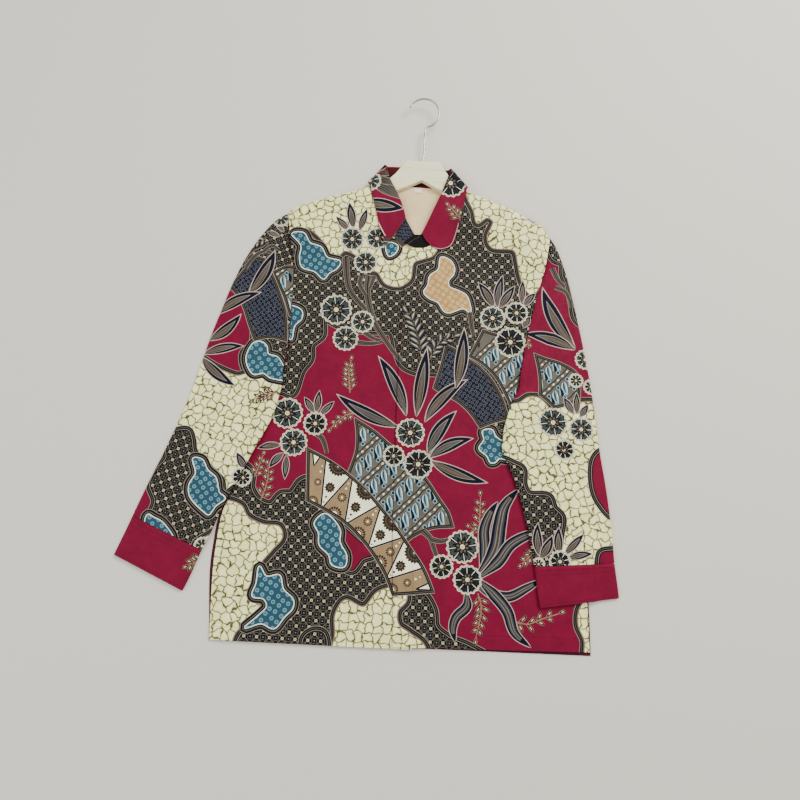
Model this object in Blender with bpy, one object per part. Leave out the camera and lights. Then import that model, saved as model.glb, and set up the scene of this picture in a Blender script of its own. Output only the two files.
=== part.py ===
"""A men's long-sleeved batik shirt, laid out flat on its back with a flat wooden hanger in it.

Units are metres in Blender and millimetres in the tables (MM turns one into the other).
+X is to the right of someone looking down at the front, +Y runs from hem to collar and +Z is up.
The origin is on the floor, on the shirt's centre line, under the middle of the back panel.
"left" and "right" in the names are -X and +X.
"""
import math

import bpy
import numpy as np

MM = 0.001

# ---- thicknesses and levels, in millimetres ---------------------------------------------------
SEAM = 0.3                    # air between two pieces that are sewn together or lie on each other
LINING_GAP = 0.4              # air between the back panel and its lining
CLOTH = 1.4                   # printed cotton and its lining, lying loose on each other
LINING = 1.0                  # the plain lining where it shows inside the neck
HANGER_THICK = 10.0
EDGE_GAP = 0.5                # seam gap measured in the plane of the cloth

COLLAR_LIFT = CLOTH + SEAM    # the collar's back fall lies under the neck of the back panel
HANGER_BOTTOM = COLLAR_LIFT + CLOTH + LINING_GAP + LINING + SEAM
HANGER_TOP = HANGER_BOTTOM + HANGER_THICK
OVER_HANGER = HANGER_TOP + SEAM
BODY_AIR = 1.9                # from the back panel up to the front panel, lining between them
FLY_STEP = CLOTH + SEAM + 0.2       # the right front lies on the left front along the fly
FLY_WIDTH = 36.0
SLEEVE_OVER_BODY = 5.4        # level of a sleeve's underside where it lies on the body
SLEEVE_THICK = 6.0            # a flattened sleeve: two walls and the air between them
SLEEVE_WALL = 1.5
CUFF_THICK = 5.2
SHOULDER_RAMP = 5.5           # width of the slope from the hanger's level to the shoulder seam
CUFF_WALL = 1.9
FALL_AIR = 0.7                # extra air between the collar's fall and what it lies on
COLLAR_STEP = 18.0            # longest step between two sections of the collar

# ---- outlines: named columns, one row for each section -----------------------------------------
# The shoulder line from the left sleeve to the right one: x, y.
SHOULDER = [(-228, 367), (-224, 376.5), (-216, 380.5), (-175, 397), (-125, 414), (-84.5, 430),
            (-60, 440), (0, 462), (60, 439), (82.5, 428.5), (110, 418), (142, 407.5), (172, 393),
            (190, 384.5), (212, 372), (227, 352)]

# Armholes from the shoulder tip down to the underarm: x, y.
ARMHOLE_LEFT = [(-228, 367), (-226, 356), (-224, 345), (-221, 328), (-217, 308), (-212, 282),
                (-208, 255), (-206, 225), (-205, 195), (-204, 165), (-204, 135), (-205, 110),
                (-207, 95), (-208, 84)]
ARMHOLE_RIGHT = [(227, 352), (226, 342), (224.5, 330), (222, 312), (219, 292), (213, 266),
                 (207, 240), (201, 212), (196, 186), (191, 160), (187, 134), (183.5, 111),
                 (182, 97), (181, 84)]

# Side seams from the underarm to the hem: y, x of the front panel, x of the back panel.
SIDE_LEFT = [(84, -208, -208), (10, -226, -227), (-70, -250, -252), (-144, -279, -283),
             (-200, -284, -289), (-240, -284, -289), (-341, -277, -277)]
SIDE_RIGHT = [(84, 181, 181), (20, 220, 221), (-50, 249, 251), (-120, 272, 275),
              (-190, 288, 290), (-250, 297, 299), (-321, 301, 303)]

# The front edges: y, x.  The left front runs under the right one by the width of the fly.
EDGE_LEFT_FRONT = [(-335, 32), (-180, 24), (-60, 20), (100, 16), (240, 14), (300, 10), (316, 6)]
EDGE_RIGHT_FRONT = [(-333, 2), (-260, -2), (-180, -8), (-60, -13), (100, -18), (240, -18),
                    (300, -16), (317, -14)]

# Necklines of the two fronts, from the front edge up to the shoulder point: x, y.
NECK_LEFT = [(6, 316), (-14, 316), (-28, 318), (-42, 335), (-51, 347), (-61, 372), (-70, 397),
             (-74, 410), (-77.5, 419), (-80.5, 424), (-83, 427), (-84.5, 430)]
NECK_RIGHT = [(-14, 317), (0, 317), (16, 320), (30, 332), (40, 345), (53, 371), (64, 396),
              (69.5, 409), (72.5, 417), (76, 422), (79.5, 425.5), (82.5, 428.5)]

# Sleeves from armhole to cuff: x, y of the outer edge, x, y of the inner edge, and how much of
# the armhole's own curve is left in that section.
SLEEVE_LEFT = [(-228.4, 367.3, -208.4, 83.7, 1.0), (-247, 354, -207, 72, 0.75),
               (-264, 334, -207, 60, 0.5), (-288, 292, -210, 40, 0.25), (-307, 243, -214, 18, 0.1),
               (-325, 177, -221, -5, 0.0), (-335, 138, -226, -16, 0.0), (-343, 99, -231, -28, 0.0),
               (-357, 34, -242, -52, 0.0), (-367, -2, -250, -72, 0.0), (-378, -37, -259, -95, 0.0),
               (-389, -70, -270, -118, 0.0), (-400, -101, -279, -140, 0.0),
               (-411, -134, -292, -180, 0.0), (-421, -165, -305, -210, 0.0)]
SLEEVE_RIGHT = [(227.4, 352.2, 181.4, 83.7, 1.0), (238, 336, 177, 72, 0.75),
                (246, 318, 171, 59, 0.5), (260, 277, 162, 27, 0.25), (274, 220, 157, 0, 0.1),
                (288, 156, 157, -22, 0.0), (293, 130, 160, -31, 0.0), (298, 106, 164, -40, 0.0),
                (307, 49, 175, -62, 0.0), (312, 13, 181, -78, 0.0), (317, -23, 187, -95, 0.0),
                (323, -56, 193, -114, 0.0), (328, -87, 198, -133, 0.0),
                (335, -142, 207, -170, 0.0), (339, -187, 213, -200, 0.0)]

# Cuffs below their seams: x, y of the outer edge and x, y of the inner edge.
CUFF_LEFT = [(-427, -184, -312, -230), (-434, -205, -319, -252), (-441, -226, -327, -273)]
CUFF_RIGHT = [(341.5, -205, 216, -220), (344, -222, 219, -241), (346, -239, 223, -261)]

# The collar's fall, round the neck from the left point to the right one.  Columns: x, y of the
# fold, x, y of the outer edge, how high it lies (1 on the front, 0 on the floor under the back)
# and how far its edge bows away from a straight line.
FALL = [(-24, 371, -56, 317.5, 1, -2), (-33, 395, -66, 343, 1, 0), (-44, 417, -76, 378, 1, 0),
        (-56, 439, -86, 410, 1, 0), (-61, 453, -91, 427, 1, 0), (-67, 470, -94, 434, 0.46, 0),
        (-61, 471, -89, 431, 0, 0), (-50, 471.5, -72, 422, 0, 0), (-25, 472, -32, 418, 0, 0),
        (-8, 472, -8, 417, 0, 0), (12, 472, 18, 418, 0, 0), (34, 471.5, 56, 422, 0, 0),
        (44, 471, 74, 431, 0, 0), (50, 470.5, 80.5, 435, 0.46, 0), (49, 456, 79, 429.5, 1, 0),
        (42, 437, 76.5, 412, 1, 0), (36, 417, 72, 386, 1, 0), (23, 384, 65, 346, 1, 0),
        (14, 362, 59, 326, 1, 3), (6, 344, 38, 315.5, 1, 5)]

# The collar's stand inside it.  Columns: x, y of the fold, x, y of the neck seam, and height.
STAND = [(-4, 339, -26, 319, 1), (-13, 352, -38, 331, 1), (-24, 370, -50, 347, 1),
         (-33, 393, -60, 372, 1), (-44, 415, -69, 397, 1), (-56, 437, -76, 418, 1),
         (-60, 450, -82, 428.5, 1), (-62.5, 464, -85, 434, 0.46), (-57, 468.5, -80, 430.6, 0),
         (-45, 469.5, -62, 430.4, 0), (-25, 470, -28, 430.1, 0), (-8, 470, -8, 429.9, 0),
         (12, 470, 18, 429.7, 0), (30, 469.5, 48, 429.5, 0), (38, 468.5, 71, 430.5, 0),
         (46.3, 466, 76, 434.5, 0.46), (46.5, 455, 75.5, 430.5, 1), (41, 435, 71.5, 417, 1),
         (35, 415, 63, 396, 1), (22, 382, 52, 371, 1), (13, 360, 39, 345, 1),
         (5, 343, 16, 321, 1), (-2, 342, -6, 319, 1), (-9, 341, -24, 326, 1)]

# The lining inside the back, where the neck lets it show: x, y of its left and right edges.
LINING_BACK = [(-58, 292, 50, 292), (-66, 345, 57, 345), (-72, 390, 64, 390),
               (-74, 412, 66, 412), (-75, 432, 67, 432)]

# The hanger's outline on one side, from the middle of its top edge round to the notch: x, y.
HANGER_HALF = [(29, 478), (47.5, 451), (57, 441), (80, 420), (110, 405.5), (147, 392), (184, 375.5),
               (194, 370), (199, 364), (199, 358), (194, 353), (182, 356.5), (147, 371),
               (110, 384), (80, 398), (44, 418)]
HANGER_TOP_MIDDLE = (0, 478)
HANGER_NOTCH = (0, 441)
HANGER_ROUND = 1.4

HOOK_RADIUS = 1.6
HOOK_CENTRE = (-4.0, 571.0)
HOOK_LOOP_RADIUS = 27.0
HOOK_SHANK_TOP = 540.0
HOOK_RISE = 0.08              # the hook stands up a little from the plane of the hanger
HOOK_START_ANGLE = -72.0      # degrees round the loop, where the shank runs into it
HOOK_END_ANGLE = 162.0

LABEL_CENTRE = (-6.0, 425.5)
LABEL_SIZE = (13.0, 8.0)
LABEL_THICK = 0.6

# The largest folds: x, y of both ends, half width and height.
FRONT_FOLDS = [(-151, 250, -143, 60, 13, 2.6), (-166, 210, -160, 20, 11, 1.6),
               (110, 150, 128, -40, 14, 1.8), (250, -318, 262, -262, 9, 2.2),
               (280, -318, 286, -280, 8, 1.8), (-120, -330, -100, -180, 13, 1.6),
               (60, 60, 66, -130, 13, 1.5)]
SLEEVE_FOLDS = [(-262, 96, -238, -20, 11, 2.6), (-300, 60, -262, -70, 11, 2.4),
                (-330, 60, -300, -120, 11, 2.0), (250, 70, 222, -60, 11, 2.4),
                (280, 60, 262, -110, 10, 2.0), (-262, 300, -240, 190, 12, 2.0),
                (246, 260, 228, 150, 12, 2.0)]


# ---- small helpers ------------------------------------------------------------------------------
def smooth(t):
    """0 below t = 0, 1 above t = 1 and an even curve between them."""
    t = min(max(t, 0.0), 1.0)
    return t * t * (3.0 - 2.0 * t)


def along(table, value, key=0, column=1):
    """A column of a table, read at a value of its key column, with straight lines between rows."""
    rows = sorted(table, key=lambda row: row[key])
    return float(np.interp(value, [row[key] for row in rows], [row[column] for row in rows]))


def folds_height(folds, x, y):
    """How much the folds in a table lift the cloth at a point."""
    total = 0.0
    for x0, y0, x1, y1, half_width, height in folds:
        length = math.hypot(x1 - x0, y1 - y0)
        ux, uy = (x1 - x0) / length, (y1 - y0) / length
        run = (x - x0) * ux + (y - y0) * uy
        off = (x - x0) * uy - (y - y0) * ux
        taper = smooth(run / (0.3 * length)) * smooth((length - run) / (0.3 * length))
        total += height * taper * math.exp(-(off / half_width) ** 2)
    return total


def material(name, colour, roughness=0.8, metallic=0.0):
    made = bpy.data.materials.new(name)
    made.use_nodes = True
    shader = made.node_tree.nodes["Principled BSDF"]
    shader.inputs["Base Color"].default_value = (*colour, 1.0)
    shader.inputs["Roughness"].default_value = roughness
    shader.inputs["Metallic"].default_value = metallic
    return made


def add_object(name, points, faces, finish):
    """One closed solid from points in millimetres."""
    mesh = bpy.data.meshes.new(name)
    mesh.from_pydata([tuple(value * MM for value in point) for point in points], [], faces)
    mesh.update()
    mesh.materials.append(finish)
    made = bpy.data.objects.new(name, mesh)
    bpy.context.scene.collection.objects.link(made)
    return made


def closed_sheet(name, lower, upper, finish):
    """A wall between two grids of points, rows by columns, lower one first."""
    rows, columns = len(lower), len(lower[0])
    points = [p for row in lower for p in row] + [p for row in upper for p in row]
    top = rows * columns

    def at(i, j):
        return i * columns + j

    faces = []
    for i in range(rows - 1):
        for j in range(columns - 1):
            a, b, c, d = at(i, j), at(i, j + 1), at(i + 1, j + 1), at(i + 1, j)
            faces.append((a, d, c, b))
            faces.append((top + a, top + b, top + c, top + d))
    rim = ([at(0, j) for j in range(columns)]
           + [at(i, columns - 1) for i in range(1, rows)]
           + [at(rows - 1, j) for j in range(columns - 2, -1, -1)]
           + [at(i, 0) for i in range(rows - 2, 0, -1)])
    for a, b in zip(rim, rim[1:] + rim[:1]):
        faces.append((a, b, top + b, top + a))
    return add_object(name, points, faces, finish)


def closed_tube(name, outer, inner, finish):
    """An open-ended tube between two lists of rings with the same number of points."""
    count, around = len(outer), len(outer[0])
    points = [p for ring in outer for p in ring] + [p for ring in inner for p in ring]
    shift = count * around
    faces = []
    for i in range(count - 1):
        for j in range(around):
            k = (j + 1) % around
            a, b = i * around + j, i * around + k
            c, d = (i + 1) * around + k, (i + 1) * around + j
            faces.append((a, d, c, b))
            faces.append((shift + a, shift + b, shift + c, shift + d))
    last = (count - 1) * around
    for j in range(around):
        k = (j + 1) % around
        faces.append((j, k, shift + k, shift + j))
        faces.append((last + k, last + j, shift + last + j, shift + last + k))
    return add_object(name, points, faces, finish)


def outward(made):
    """Turns the faces of a solid outwards if its volume comes out negative."""
    mesh = made.data
    volume = 0.0
    for face in mesh.polygons:
        corner = [mesh.vertices[i].co for i in face.vertices]
        for b, c in zip(corner[1:], corner[2:]):
            volume += corner[0].dot(b.cross(c))
    if volume < 0:
        mesh.flip_normals()


def rows_between(rows, step):
    """Adds straight-line rows so that no two neighbours are further apart than a step."""
    made = [rows[0]]
    for a, b in zip(rows, rows[1:]):
        far = max(math.hypot(b[0] - a[0], b[1] - a[1]), math.hypot(b[2] - a[2], b[3] - a[3]))
        parts = max(1, math.ceil(far / step))
        for k in range(1, parts + 1):
            made.append(tuple(p + (q - p) * k / parts for p, q in zip(a, b)))
    return made


# ---- levels: how high each layer lies at a point ------------------------------------------------
def back_underside(x, y):
    """Flat on the floor, and lifted at the neck by the collar's fall."""
    return COLLAR_LIFT * smooth((y - 378) / 34)


def back_top(x, y):
    return back_underside(x, y) + CLOTH


def shoulder_depth(x, y):
    """Distance below the shoulder line, measured at right angles to it."""
    return (along(SHOULDER, x) - y) * math.cos(math.radians(21))


def front_level(x, y, edge=True):
    """The underside of the front panels: over the hanger's arms, then down on the back."""
    depth = shoulder_depth(x, y)
    rest = back_top(x, y) + BODY_AIR
    over = 1.0 - smooth((depth - 40) / 78)
    arm_end = 1.0 - 0.55 * smooth((abs(x) - 210) / 17)
    level = rest + (OVER_HANGER - rest) * over * arm_end
    if edge:
        seam = back_top(x, y) + SEAM
        level = seam + (level - seam) * min(max(depth / SHOULDER_RAMP, 0.0), 1.0)
    return level


def side_x(y, table, armhole, column):
    return along(table, y, 0, column) if y < 84 else along(armhole, y, 1, 0)


def beside_body(x, y):
    """How far a point lies outside the back panel's side, negative inside it."""
    if x < 0:
        return side_x(y, SIDE_LEFT, ARMHOLE_LEFT, 2) - x
    return x - side_x(y, SIDE_RIGHT, ARMHOLE_RIGHT, 2)


def side_tuck(x, y):
    """The front comes down to the back along the side seams."""
    return smooth(-beside_body(x, y) / 26)


def left_front_level(x, y):
    level = front_level(x, y) + folds_height(FRONT_FOLDS, x, y)
    seam = back_top(x, y) + SEAM
    return seam + (level - seam) * side_tuck(x, y) if y < 84 else level


def fly_lift(x):
    return FLY_STEP * (1.0 - smooth((x - FLY_WIDTH) / 22))


def right_front_level(x, y):
    level = front_level(x, y) + folds_height(FRONT_FOLDS, x, y) + fly_lift(x)
    seam = back_top(x, y) + SEAM
    return seam + (level - seam) * side_tuck(x, y) if y < 84 else level


def steepness(level, x, y):
    """1 where a level is flat, more where it slopes: what a vertical thickness is multiplied by."""
    d = 1.0
    gx = (level(x + d, y) - level(x - d, y)) / (2 * d)
    gy = (level(x, y + d) - level(x, y - d)) / (2 * d)
    return min(math.sqrt(1.0 + gx * gx + gy * gy), 1.9)


def sleeve_underside(x, y):
    """On the floor, or on the body where the sleeve lies over its side."""
    beside = 1.0 - smooth((beside_body(x, y) - 5) / 17)
    below_underarm = 1.0 - smooth((y - 118) / 34)
    return SLEEVE_OVER_BODY * beside * below_underarm


# ---- the pieces ---------------------------------------------------------------------------------
def sheet_from_rows(name, rows, columns, level, thickness, finish):
    """A panel whose rows run from one edge to the other, at a level, with a thickness."""
    lower, upper = [], []
    for x0, y0, x1, y1 in rows:
        low_row, high_row = [], []
        for u in np.linspace(0.0, 1.0, columns):
            x, y = float(x0 + (x1 - x0) * u), float(y0 + (y1 - y0) * u)
            z = level(x, y)
            low_row.append((x, y, z))
            high_row.append((x, y, z + thickness * steepness(level, x, y)))
        lower.append(low_row)
        upper.append(high_row)
    made = closed_sheet(name, lower, upper, finish)
    outward(made)
    return made


def front_rows(edge, neck, side, armhole):
    """Sections of a front panel from hem to shoulder: front edge or neckline to side or armhole."""
    rows = []
    heights = [-300, -240, -190, -144, -100, -70, -30, 10, 50]
    hem_side = side[-1]
    rows.append((edge[0][1], edge[0][0], hem_side[1], hem_side[0]))
    for y in heights:
        rows.append((along(edge, y), y, along(side, y, 0, 1), y))
    lower_hole = [p for p in reversed(armhole) if p[1] < 300]
    top_edge = edge[-1][0]
    for k, (x, y) in enumerate(lower_hole):
        share = k / len(lower_hole)
        edge_y = 84 + (top_edge - 84) * share
        rows.append((along(edge, edge_y), edge_y, x, y))
    upper_hole = [p for p in reversed(armhole) if p[1] >= 300]
    corner_steps = len(neck) - 1
    for k, (x, y) in enumerate(neck):
        place = k / corner_steps * (len(upper_hole) - 1)
        i = min(int(place), len(upper_hole) - 2)
        f = place - i
        (ax, ay), (bx, by) = upper_hole[i], upper_hole[i + 1]
        rows.append((x, y, ax + (bx - ax) * f, ay + (by - ay) * f))
    return rows


def build_fronts(cloth):
    left = front_rows(EDGE_LEFT_FRONT, NECK_LEFT, SIDE_LEFT, ARMHOLE_LEFT)
    right = front_rows(EDGE_RIGHT_FRONT, NECK_RIGHT, SIDE_RIGHT, ARMHOLE_RIGHT)
    sheet_from_rows("front_left", left, 16, left_front_level, CLOTH, cloth)
    sheet_from_rows("front_right", right, 16, right_front_level, CLOTH, cloth)


def build_back(cloth):
    rows = []
    for (yl, _, xl), (yr, _, xr) in zip(reversed(SIDE_LEFT), reversed(SIDE_RIGHT)):
        rows.append((xl, yl, xr, yr))
    rows[0] = (-277, -341, 303, -326)
    holes = list(zip(reversed(ARMHOLE_LEFT), reversed(ARMHOLE_RIGHT)))
    rows += [(xl, yl, xr, yr) for (xl, yl), (xr, yr) in holes[1:]]
    rows += [(-216, 380.5, 212, 372), (-175, 397, 172, 393), (-150, 405.5, 142, 407.5),
             (-125, 414, 118, 415.5), (-105, 422, 100, 421.8), (-84.5, 430, 82.5, 428.5)]
    sheet_from_rows("back", rows, 13, back_underside, CLOTH, cloth)


def build_lining(cloth):
    rows = rows_between(LINING_BACK, 16)
    sheet_from_rows("lining_back", rows, 6, lambda x, y: back_top(x, y) + LINING_GAP, LINING, cloth)


def build_label(cloth):
    cx, cy = LABEL_CENTRE
    half_w, half_h = LABEL_SIZE[0] / 2, LABEL_SIZE[1] / 2
    level = back_top(cx, cy) + LINING_GAP + LINING + SEAM
    rows = [(cx - half_w, cy - half_h, cx + half_w, cy - half_h),
            (cx - half_w, cy + half_h, cx + half_w, cy + half_h)]
    sheet_from_rows("label", rows, 2, lambda x, y: level, LABEL_THICK, cloth)


def ring_across(section, thickness, wall, underside, fractions, top_of):
    """Outer and inner ring of a flattened tube across one section, round from the outer edge."""
    points = section["points"]
    (x0, y0), (x1, y1) = points[0], points[-1]
    length = math.hypot(x1 - x0, y1 - y0)
    ux, uy = (x1 - x0) / length, (y1 - y0) / length
    outer_top, outer_low, inner_top, inner_low = [], [], [], []
    for (x, y), u in zip(points[1:-1], fractions[1:-1]):
        low = underside(x, y)
        high = low + thickness + top_of(x, y, u)
        outer_low.append((x, y, low))
        outer_top.append((x, y, high))
        inner_low.append((x, y, low + wall))
        inner_top.append((x, y, high - wall))
    first_mid = underside(x0, y0) + thickness / 2
    last_mid = underside(x1, y1) + thickness / 2
    inset = wall * 1.15
    outer = [(x0, y0, first_mid)] + outer_top + [(x1, y1, last_mid)] + outer_low[::-1]
    inner = ([(x0 + ux * inset, y0 + uy * inset, first_mid)] + inner_top
             + [(x1 - ux * inset, y1 - uy * inset, last_mid)] + inner_low[::-1])
    return outer, inner


def armhole_fractions(armhole):
    """How far along the armhole each of its points lies, from 0 to 1."""
    steps = [math.hypot(b[0] - a[0], b[1] - a[1]) for a, b in zip(armhole, armhole[1:])]
    total, run = sum(steps), 0.0
    fractions = [0.0]
    for step in steps:
        run += step
        fractions.append(run / total)
    return fractions


def build_sleeve(name, table, armhole, side, cloth):
    """A sleeve laid flat: sections fan out from the armhole and end at the cuff seam."""
    fractions = armhole_fractions(armhole)
    (ax, ay), (bx, by) = armhole[0], armhole[-1]
    bow = [(x - (ax + (bx - ax) * u), y - (ay + (by - ay) * u))
           for (x, y), u in zip(armhole, fractions)]
    head = SLEEVE_THICK * 0.7
    outer, inner = [], []
    for k, (x0, y0, x1, y1, curve) in enumerate(table):
        points = []
        for u, (dx, dy) in zip(fractions, bow):
            ease = u ** (1.0 - 0.35 * (1.0 - curve))
            v = curve * u + (1.0 - curve) * ease
            points.append((x0 + (x1 - x0) * v + dx * curve + side * EDGE_GAP * (k == 0),
                           y0 + (y1 - y0) * v + dy * curve))

        def top_of(x, y, u, curve=curve):
            """Fuller over the hanger's end at the head of the sleeve, and the folds."""
            return head * curve * (1.0 - smooth(u / 0.22)) + folds_height(SLEEVE_FOLDS, x, y)

        rings = ring_across({"points": points}, SLEEVE_THICK, SLEEVE_WALL, sleeve_underside,
                            fractions, top_of)
        outer.append(rings[0])
        inner.append(rings[1])
    made = closed_tube(name, outer, inner, cloth)
    outward(made)


def build_cuff(name, sleeve, table, cloth):
    """A flattened band that starts a seam's gap below the sleeve's last section."""
    x0, y0, x1, y1 = sleeve[-1][:4]
    width = math.hypot(x1 - x0, y1 - y0)
    down_x, down_y = -abs(y1 - y0) / width * math.copysign(1, x1 - x0), -abs(x1 - x0) / width
    seam = (x0 + down_x * EDGE_GAP, y0 + down_y * EDGE_GAP,
            x1 + down_x * EDGE_GAP, y1 + down_y * EDGE_GAP)
    fractions = [0.0, 0.04, 0.14, 0.32, 0.5, 0.68, 0.86, 0.96, 1.0]
    outer, inner = [], []
    for x0, y0, x1, y1 in [seam] + table:
        points = [(x0 + (x1 - x0) * u, y0 + (y1 - y0) * u) for u in fractions]
        rings = ring_across({"points": points}, CUFF_THICK, CUFF_WALL, sleeve_underside,
                            fractions, lambda x, y, u: 0.0)
        outer.append(rings[0])
        inner.append(rings[1])
    made = closed_tube(name, outer, inner, cloth)
    outward(made)


def thick_band(name, grid, thickness, finish):
    """A band of cloth round a grid of points in its middle, half its thickness on each side."""
    p = np.array(grid)
    across = np.gradient(p, axis=1)
    run = np.gradient(p, axis=0)
    normal = np.cross(run, across)
    normal /= np.linalg.norm(normal, axis=2)[:, :, None]
    lower = p - normal * thickness / 2
    upper = p + normal * thickness / 2
    made = closed_sheet(name, [[tuple(map(float, q)) for q in row] for row in lower],
                        [[tuple(map(float, q)) for q in row] for row in upper], finish)
    outward(made)
    return made


def collar_level(x, y, height, low, high):
    """The middle of a collar band: on the fronts, on the floor under the back, or between."""
    front = front_level(x, y, edge=False) + high * steepness(front_flat, x, y)
    return low + (front - low) * height


def front_flat(x, y):
    return front_level(x, y, edge=False)


def build_collar(cloth, dark):
    fall_low = CLOTH / 2
    fall_high = CLOTH + SEAM + CLOTH / 2 + FALL_AIR
    grid = []
    for fx, fy, ex, ey, height, bow in rows_between(FALL, COLLAR_STEP):
        length = math.hypot(ex - fx, ey - fy)
        nx, ny = (ey - fy) / length, -(ex - fx) / length
        row = []
        for u in np.linspace(0.0, 1.0, 6):
            bulge = bow * 4 * u * (1 - u)
            x, y = fx + (ex - fx) * u + nx * bulge, fy + (ey - fy) * u + ny * bulge
            lift = fly_lift(x) if fx > 0 and height == 1 else 0.0
            row.append((x, y, collar_level(x, y, height, fall_low, fall_high) + lift))
        grid.append(row)
    thick_band("collar", grid, CLOTH, cloth)

    stand_low = CLOTH + SEAM + CLOTH / 2
    stand_high = CLOTH / 2
    grid = []
    stand = rows_between(STAND, COLLAR_STEP)
    for k, (fx, fy, nx, ny, height) in enumerate(stand):
        row = []
        for u in np.linspace(0.0, 1.0, 4):
            x, y = fx + (nx - fx) * u, fy + (ny - fy) * u
            lift = fly_lift(x) if k > len(stand) / 2 and height == 1 else 0.0
            row.append((x, y, collar_level(x, y, height, stand_low, stand_high) + lift))
        grid.append(row)
    thick_band("collar_stand", grid, CLOTH, dark)


def build_hanger(wood, metal):
    right = HANGER_HALF
    left = [(-x, y) for x, y in reversed(HANGER_HALF)]
    outline = [HANGER_TOP_MIDDLE] + right + [HANGER_NOTCH] + left
    count = len(outline)
    points = [(x, y, HANGER_BOTTOM) for x, y in outline] + [(x, y, HANGER_TOP) for x, y in outline]
    faces = [tuple(range(count)), tuple(range(2 * count - 1, count - 1, -1))]
    for i in range(count):
        j = (i + 1) % count
        faces.append((j, i, count + i, count + j))
    made = add_object("hanger", points, faces, wood)
    outward(made)
    bevel = made.modifiers.new("rounded edges", "BEVEL")
    bevel.width = HANGER_ROUND * MM
    bevel.segments = 2
    bevel.limit_method = "ANGLE"
    bevel.angle_limit = math.radians(50)

    middle = (HANGER_BOTTOM + HANGER_TOP) / 2
    foot = HANGER_TOP_MIDDLE[1] + EDGE_GAP
    path = [(0.0, foot), (0.0, foot + 20), (0.0, HOOK_SHANK_TOP - 8), (1.2, HOOK_SHANK_TOP)]
    cx, cy = HOOK_CENTRE
    for k in range(17):
        turn = math.radians(HOOK_START_ANGLE + (HOOK_END_ANGLE - HOOK_START_ANGLE) * k / 16)
        path.append((cx + HOOK_LOOP_RADIUS * math.cos(turn), cy + HOOK_LOOP_RADIUS * math.sin(turn)))
    curve = bpy.data.curves.new("hanger_hook", "CURVE")
    curve.dimensions = "3D"
    curve.bevel_depth = HOOK_RADIUS * MM
    curve.bevel_resolution = 2
    curve.use_fill_caps = True
    spline = curve.splines.new("POLY")
    spline.points.add(len(path) - 1)
    for point, (x, y) in zip(spline.points, path):
        z = middle + (y - foot) * HOOK_RISE
        point.co = (x * MM, y * MM, z * MM, 1.0)
    curve.materials.append(metal)
    hook = bpy.data.objects.new("hanger_hook", curve)
    bpy.context.scene.collection.objects.link(hook)


def main():
    for old in list(bpy.data.objects):
        bpy.data.objects.remove(old)
    printed = material("batik cotton", (0.33, 0.012, 0.045))
    dark = material("batik cotton, dark ground", (0.02, 0.015, 0.03))
    plain = material("cream cotton lining", (0.75, 0.58, 0.43))
    woven = material("woven label", (0.75, 0.76, 0.74), 0.6)
    wood = material("pale wood", (0.83, 0.75, 0.52), 0.5)
    metal = material("nickel-plated steel", (0.6, 0.6, 0.58), 0.25, 1.0)
    build_back(printed)
    build_lining(plain)
    build_label(woven)
    build_fronts(printed)
    build_sleeve("sleeve_left", SLEEVE_LEFT, ARMHOLE_LEFT, -1, printed)
    build_sleeve("sleeve_right", SLEEVE_RIGHT, ARMHOLE_RIGHT, 1, printed)
    build_cuff("cuff_left", SLEEVE_LEFT, CUFF_LEFT, printed)
    build_cuff("cuff_right", SLEEVE_RIGHT, CUFF_RIGHT, printed)
    build_collar(printed, dark)
    build_hanger(wood, metal)


main()
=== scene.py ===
# %% [markdown]
# # A batik shirt laid out on the floor, with a wooden hanger in it
# The real thing is a long-sleeved shirt of wax-printed cotton. It lies flat on its back, and a flat
# hanger is still in its shoulders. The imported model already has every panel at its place, but as plain
# plates. This lesson dresses it: each panel is cut again as a thin cloth shell with soft folds, and
# the print is cut into the cloth's own mesh, ink by ink, so its edges stay sharp however near you look.

# %% Load the frame and note its size
import math

import bmesh
import bpy
import numpy as np
from mathutils import Matrix, Vector
from mathutils.geometry import delaunay_2d_cdt


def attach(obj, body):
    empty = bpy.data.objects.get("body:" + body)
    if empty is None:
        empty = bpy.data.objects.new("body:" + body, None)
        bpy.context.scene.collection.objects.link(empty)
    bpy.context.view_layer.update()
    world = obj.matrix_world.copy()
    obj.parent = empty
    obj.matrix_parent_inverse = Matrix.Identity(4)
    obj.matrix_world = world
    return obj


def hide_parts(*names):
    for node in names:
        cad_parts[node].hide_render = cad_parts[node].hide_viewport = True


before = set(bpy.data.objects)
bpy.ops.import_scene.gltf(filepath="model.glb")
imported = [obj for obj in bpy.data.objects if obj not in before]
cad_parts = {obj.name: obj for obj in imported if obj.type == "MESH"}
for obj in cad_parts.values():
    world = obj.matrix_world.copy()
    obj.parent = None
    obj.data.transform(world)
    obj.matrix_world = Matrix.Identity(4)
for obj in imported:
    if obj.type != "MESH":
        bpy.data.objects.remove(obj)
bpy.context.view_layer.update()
MM = 0.001

# %% [markdown]
# ## Lines and rings
# A tailor marks a pattern piece with a few points and joins them by eye. `flowing` does the same: it
# draws a smooth curve through a few points, and closes it where asked. Everything that lies on the
# cloth is worked out in millimetres, seen from above.

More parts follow.
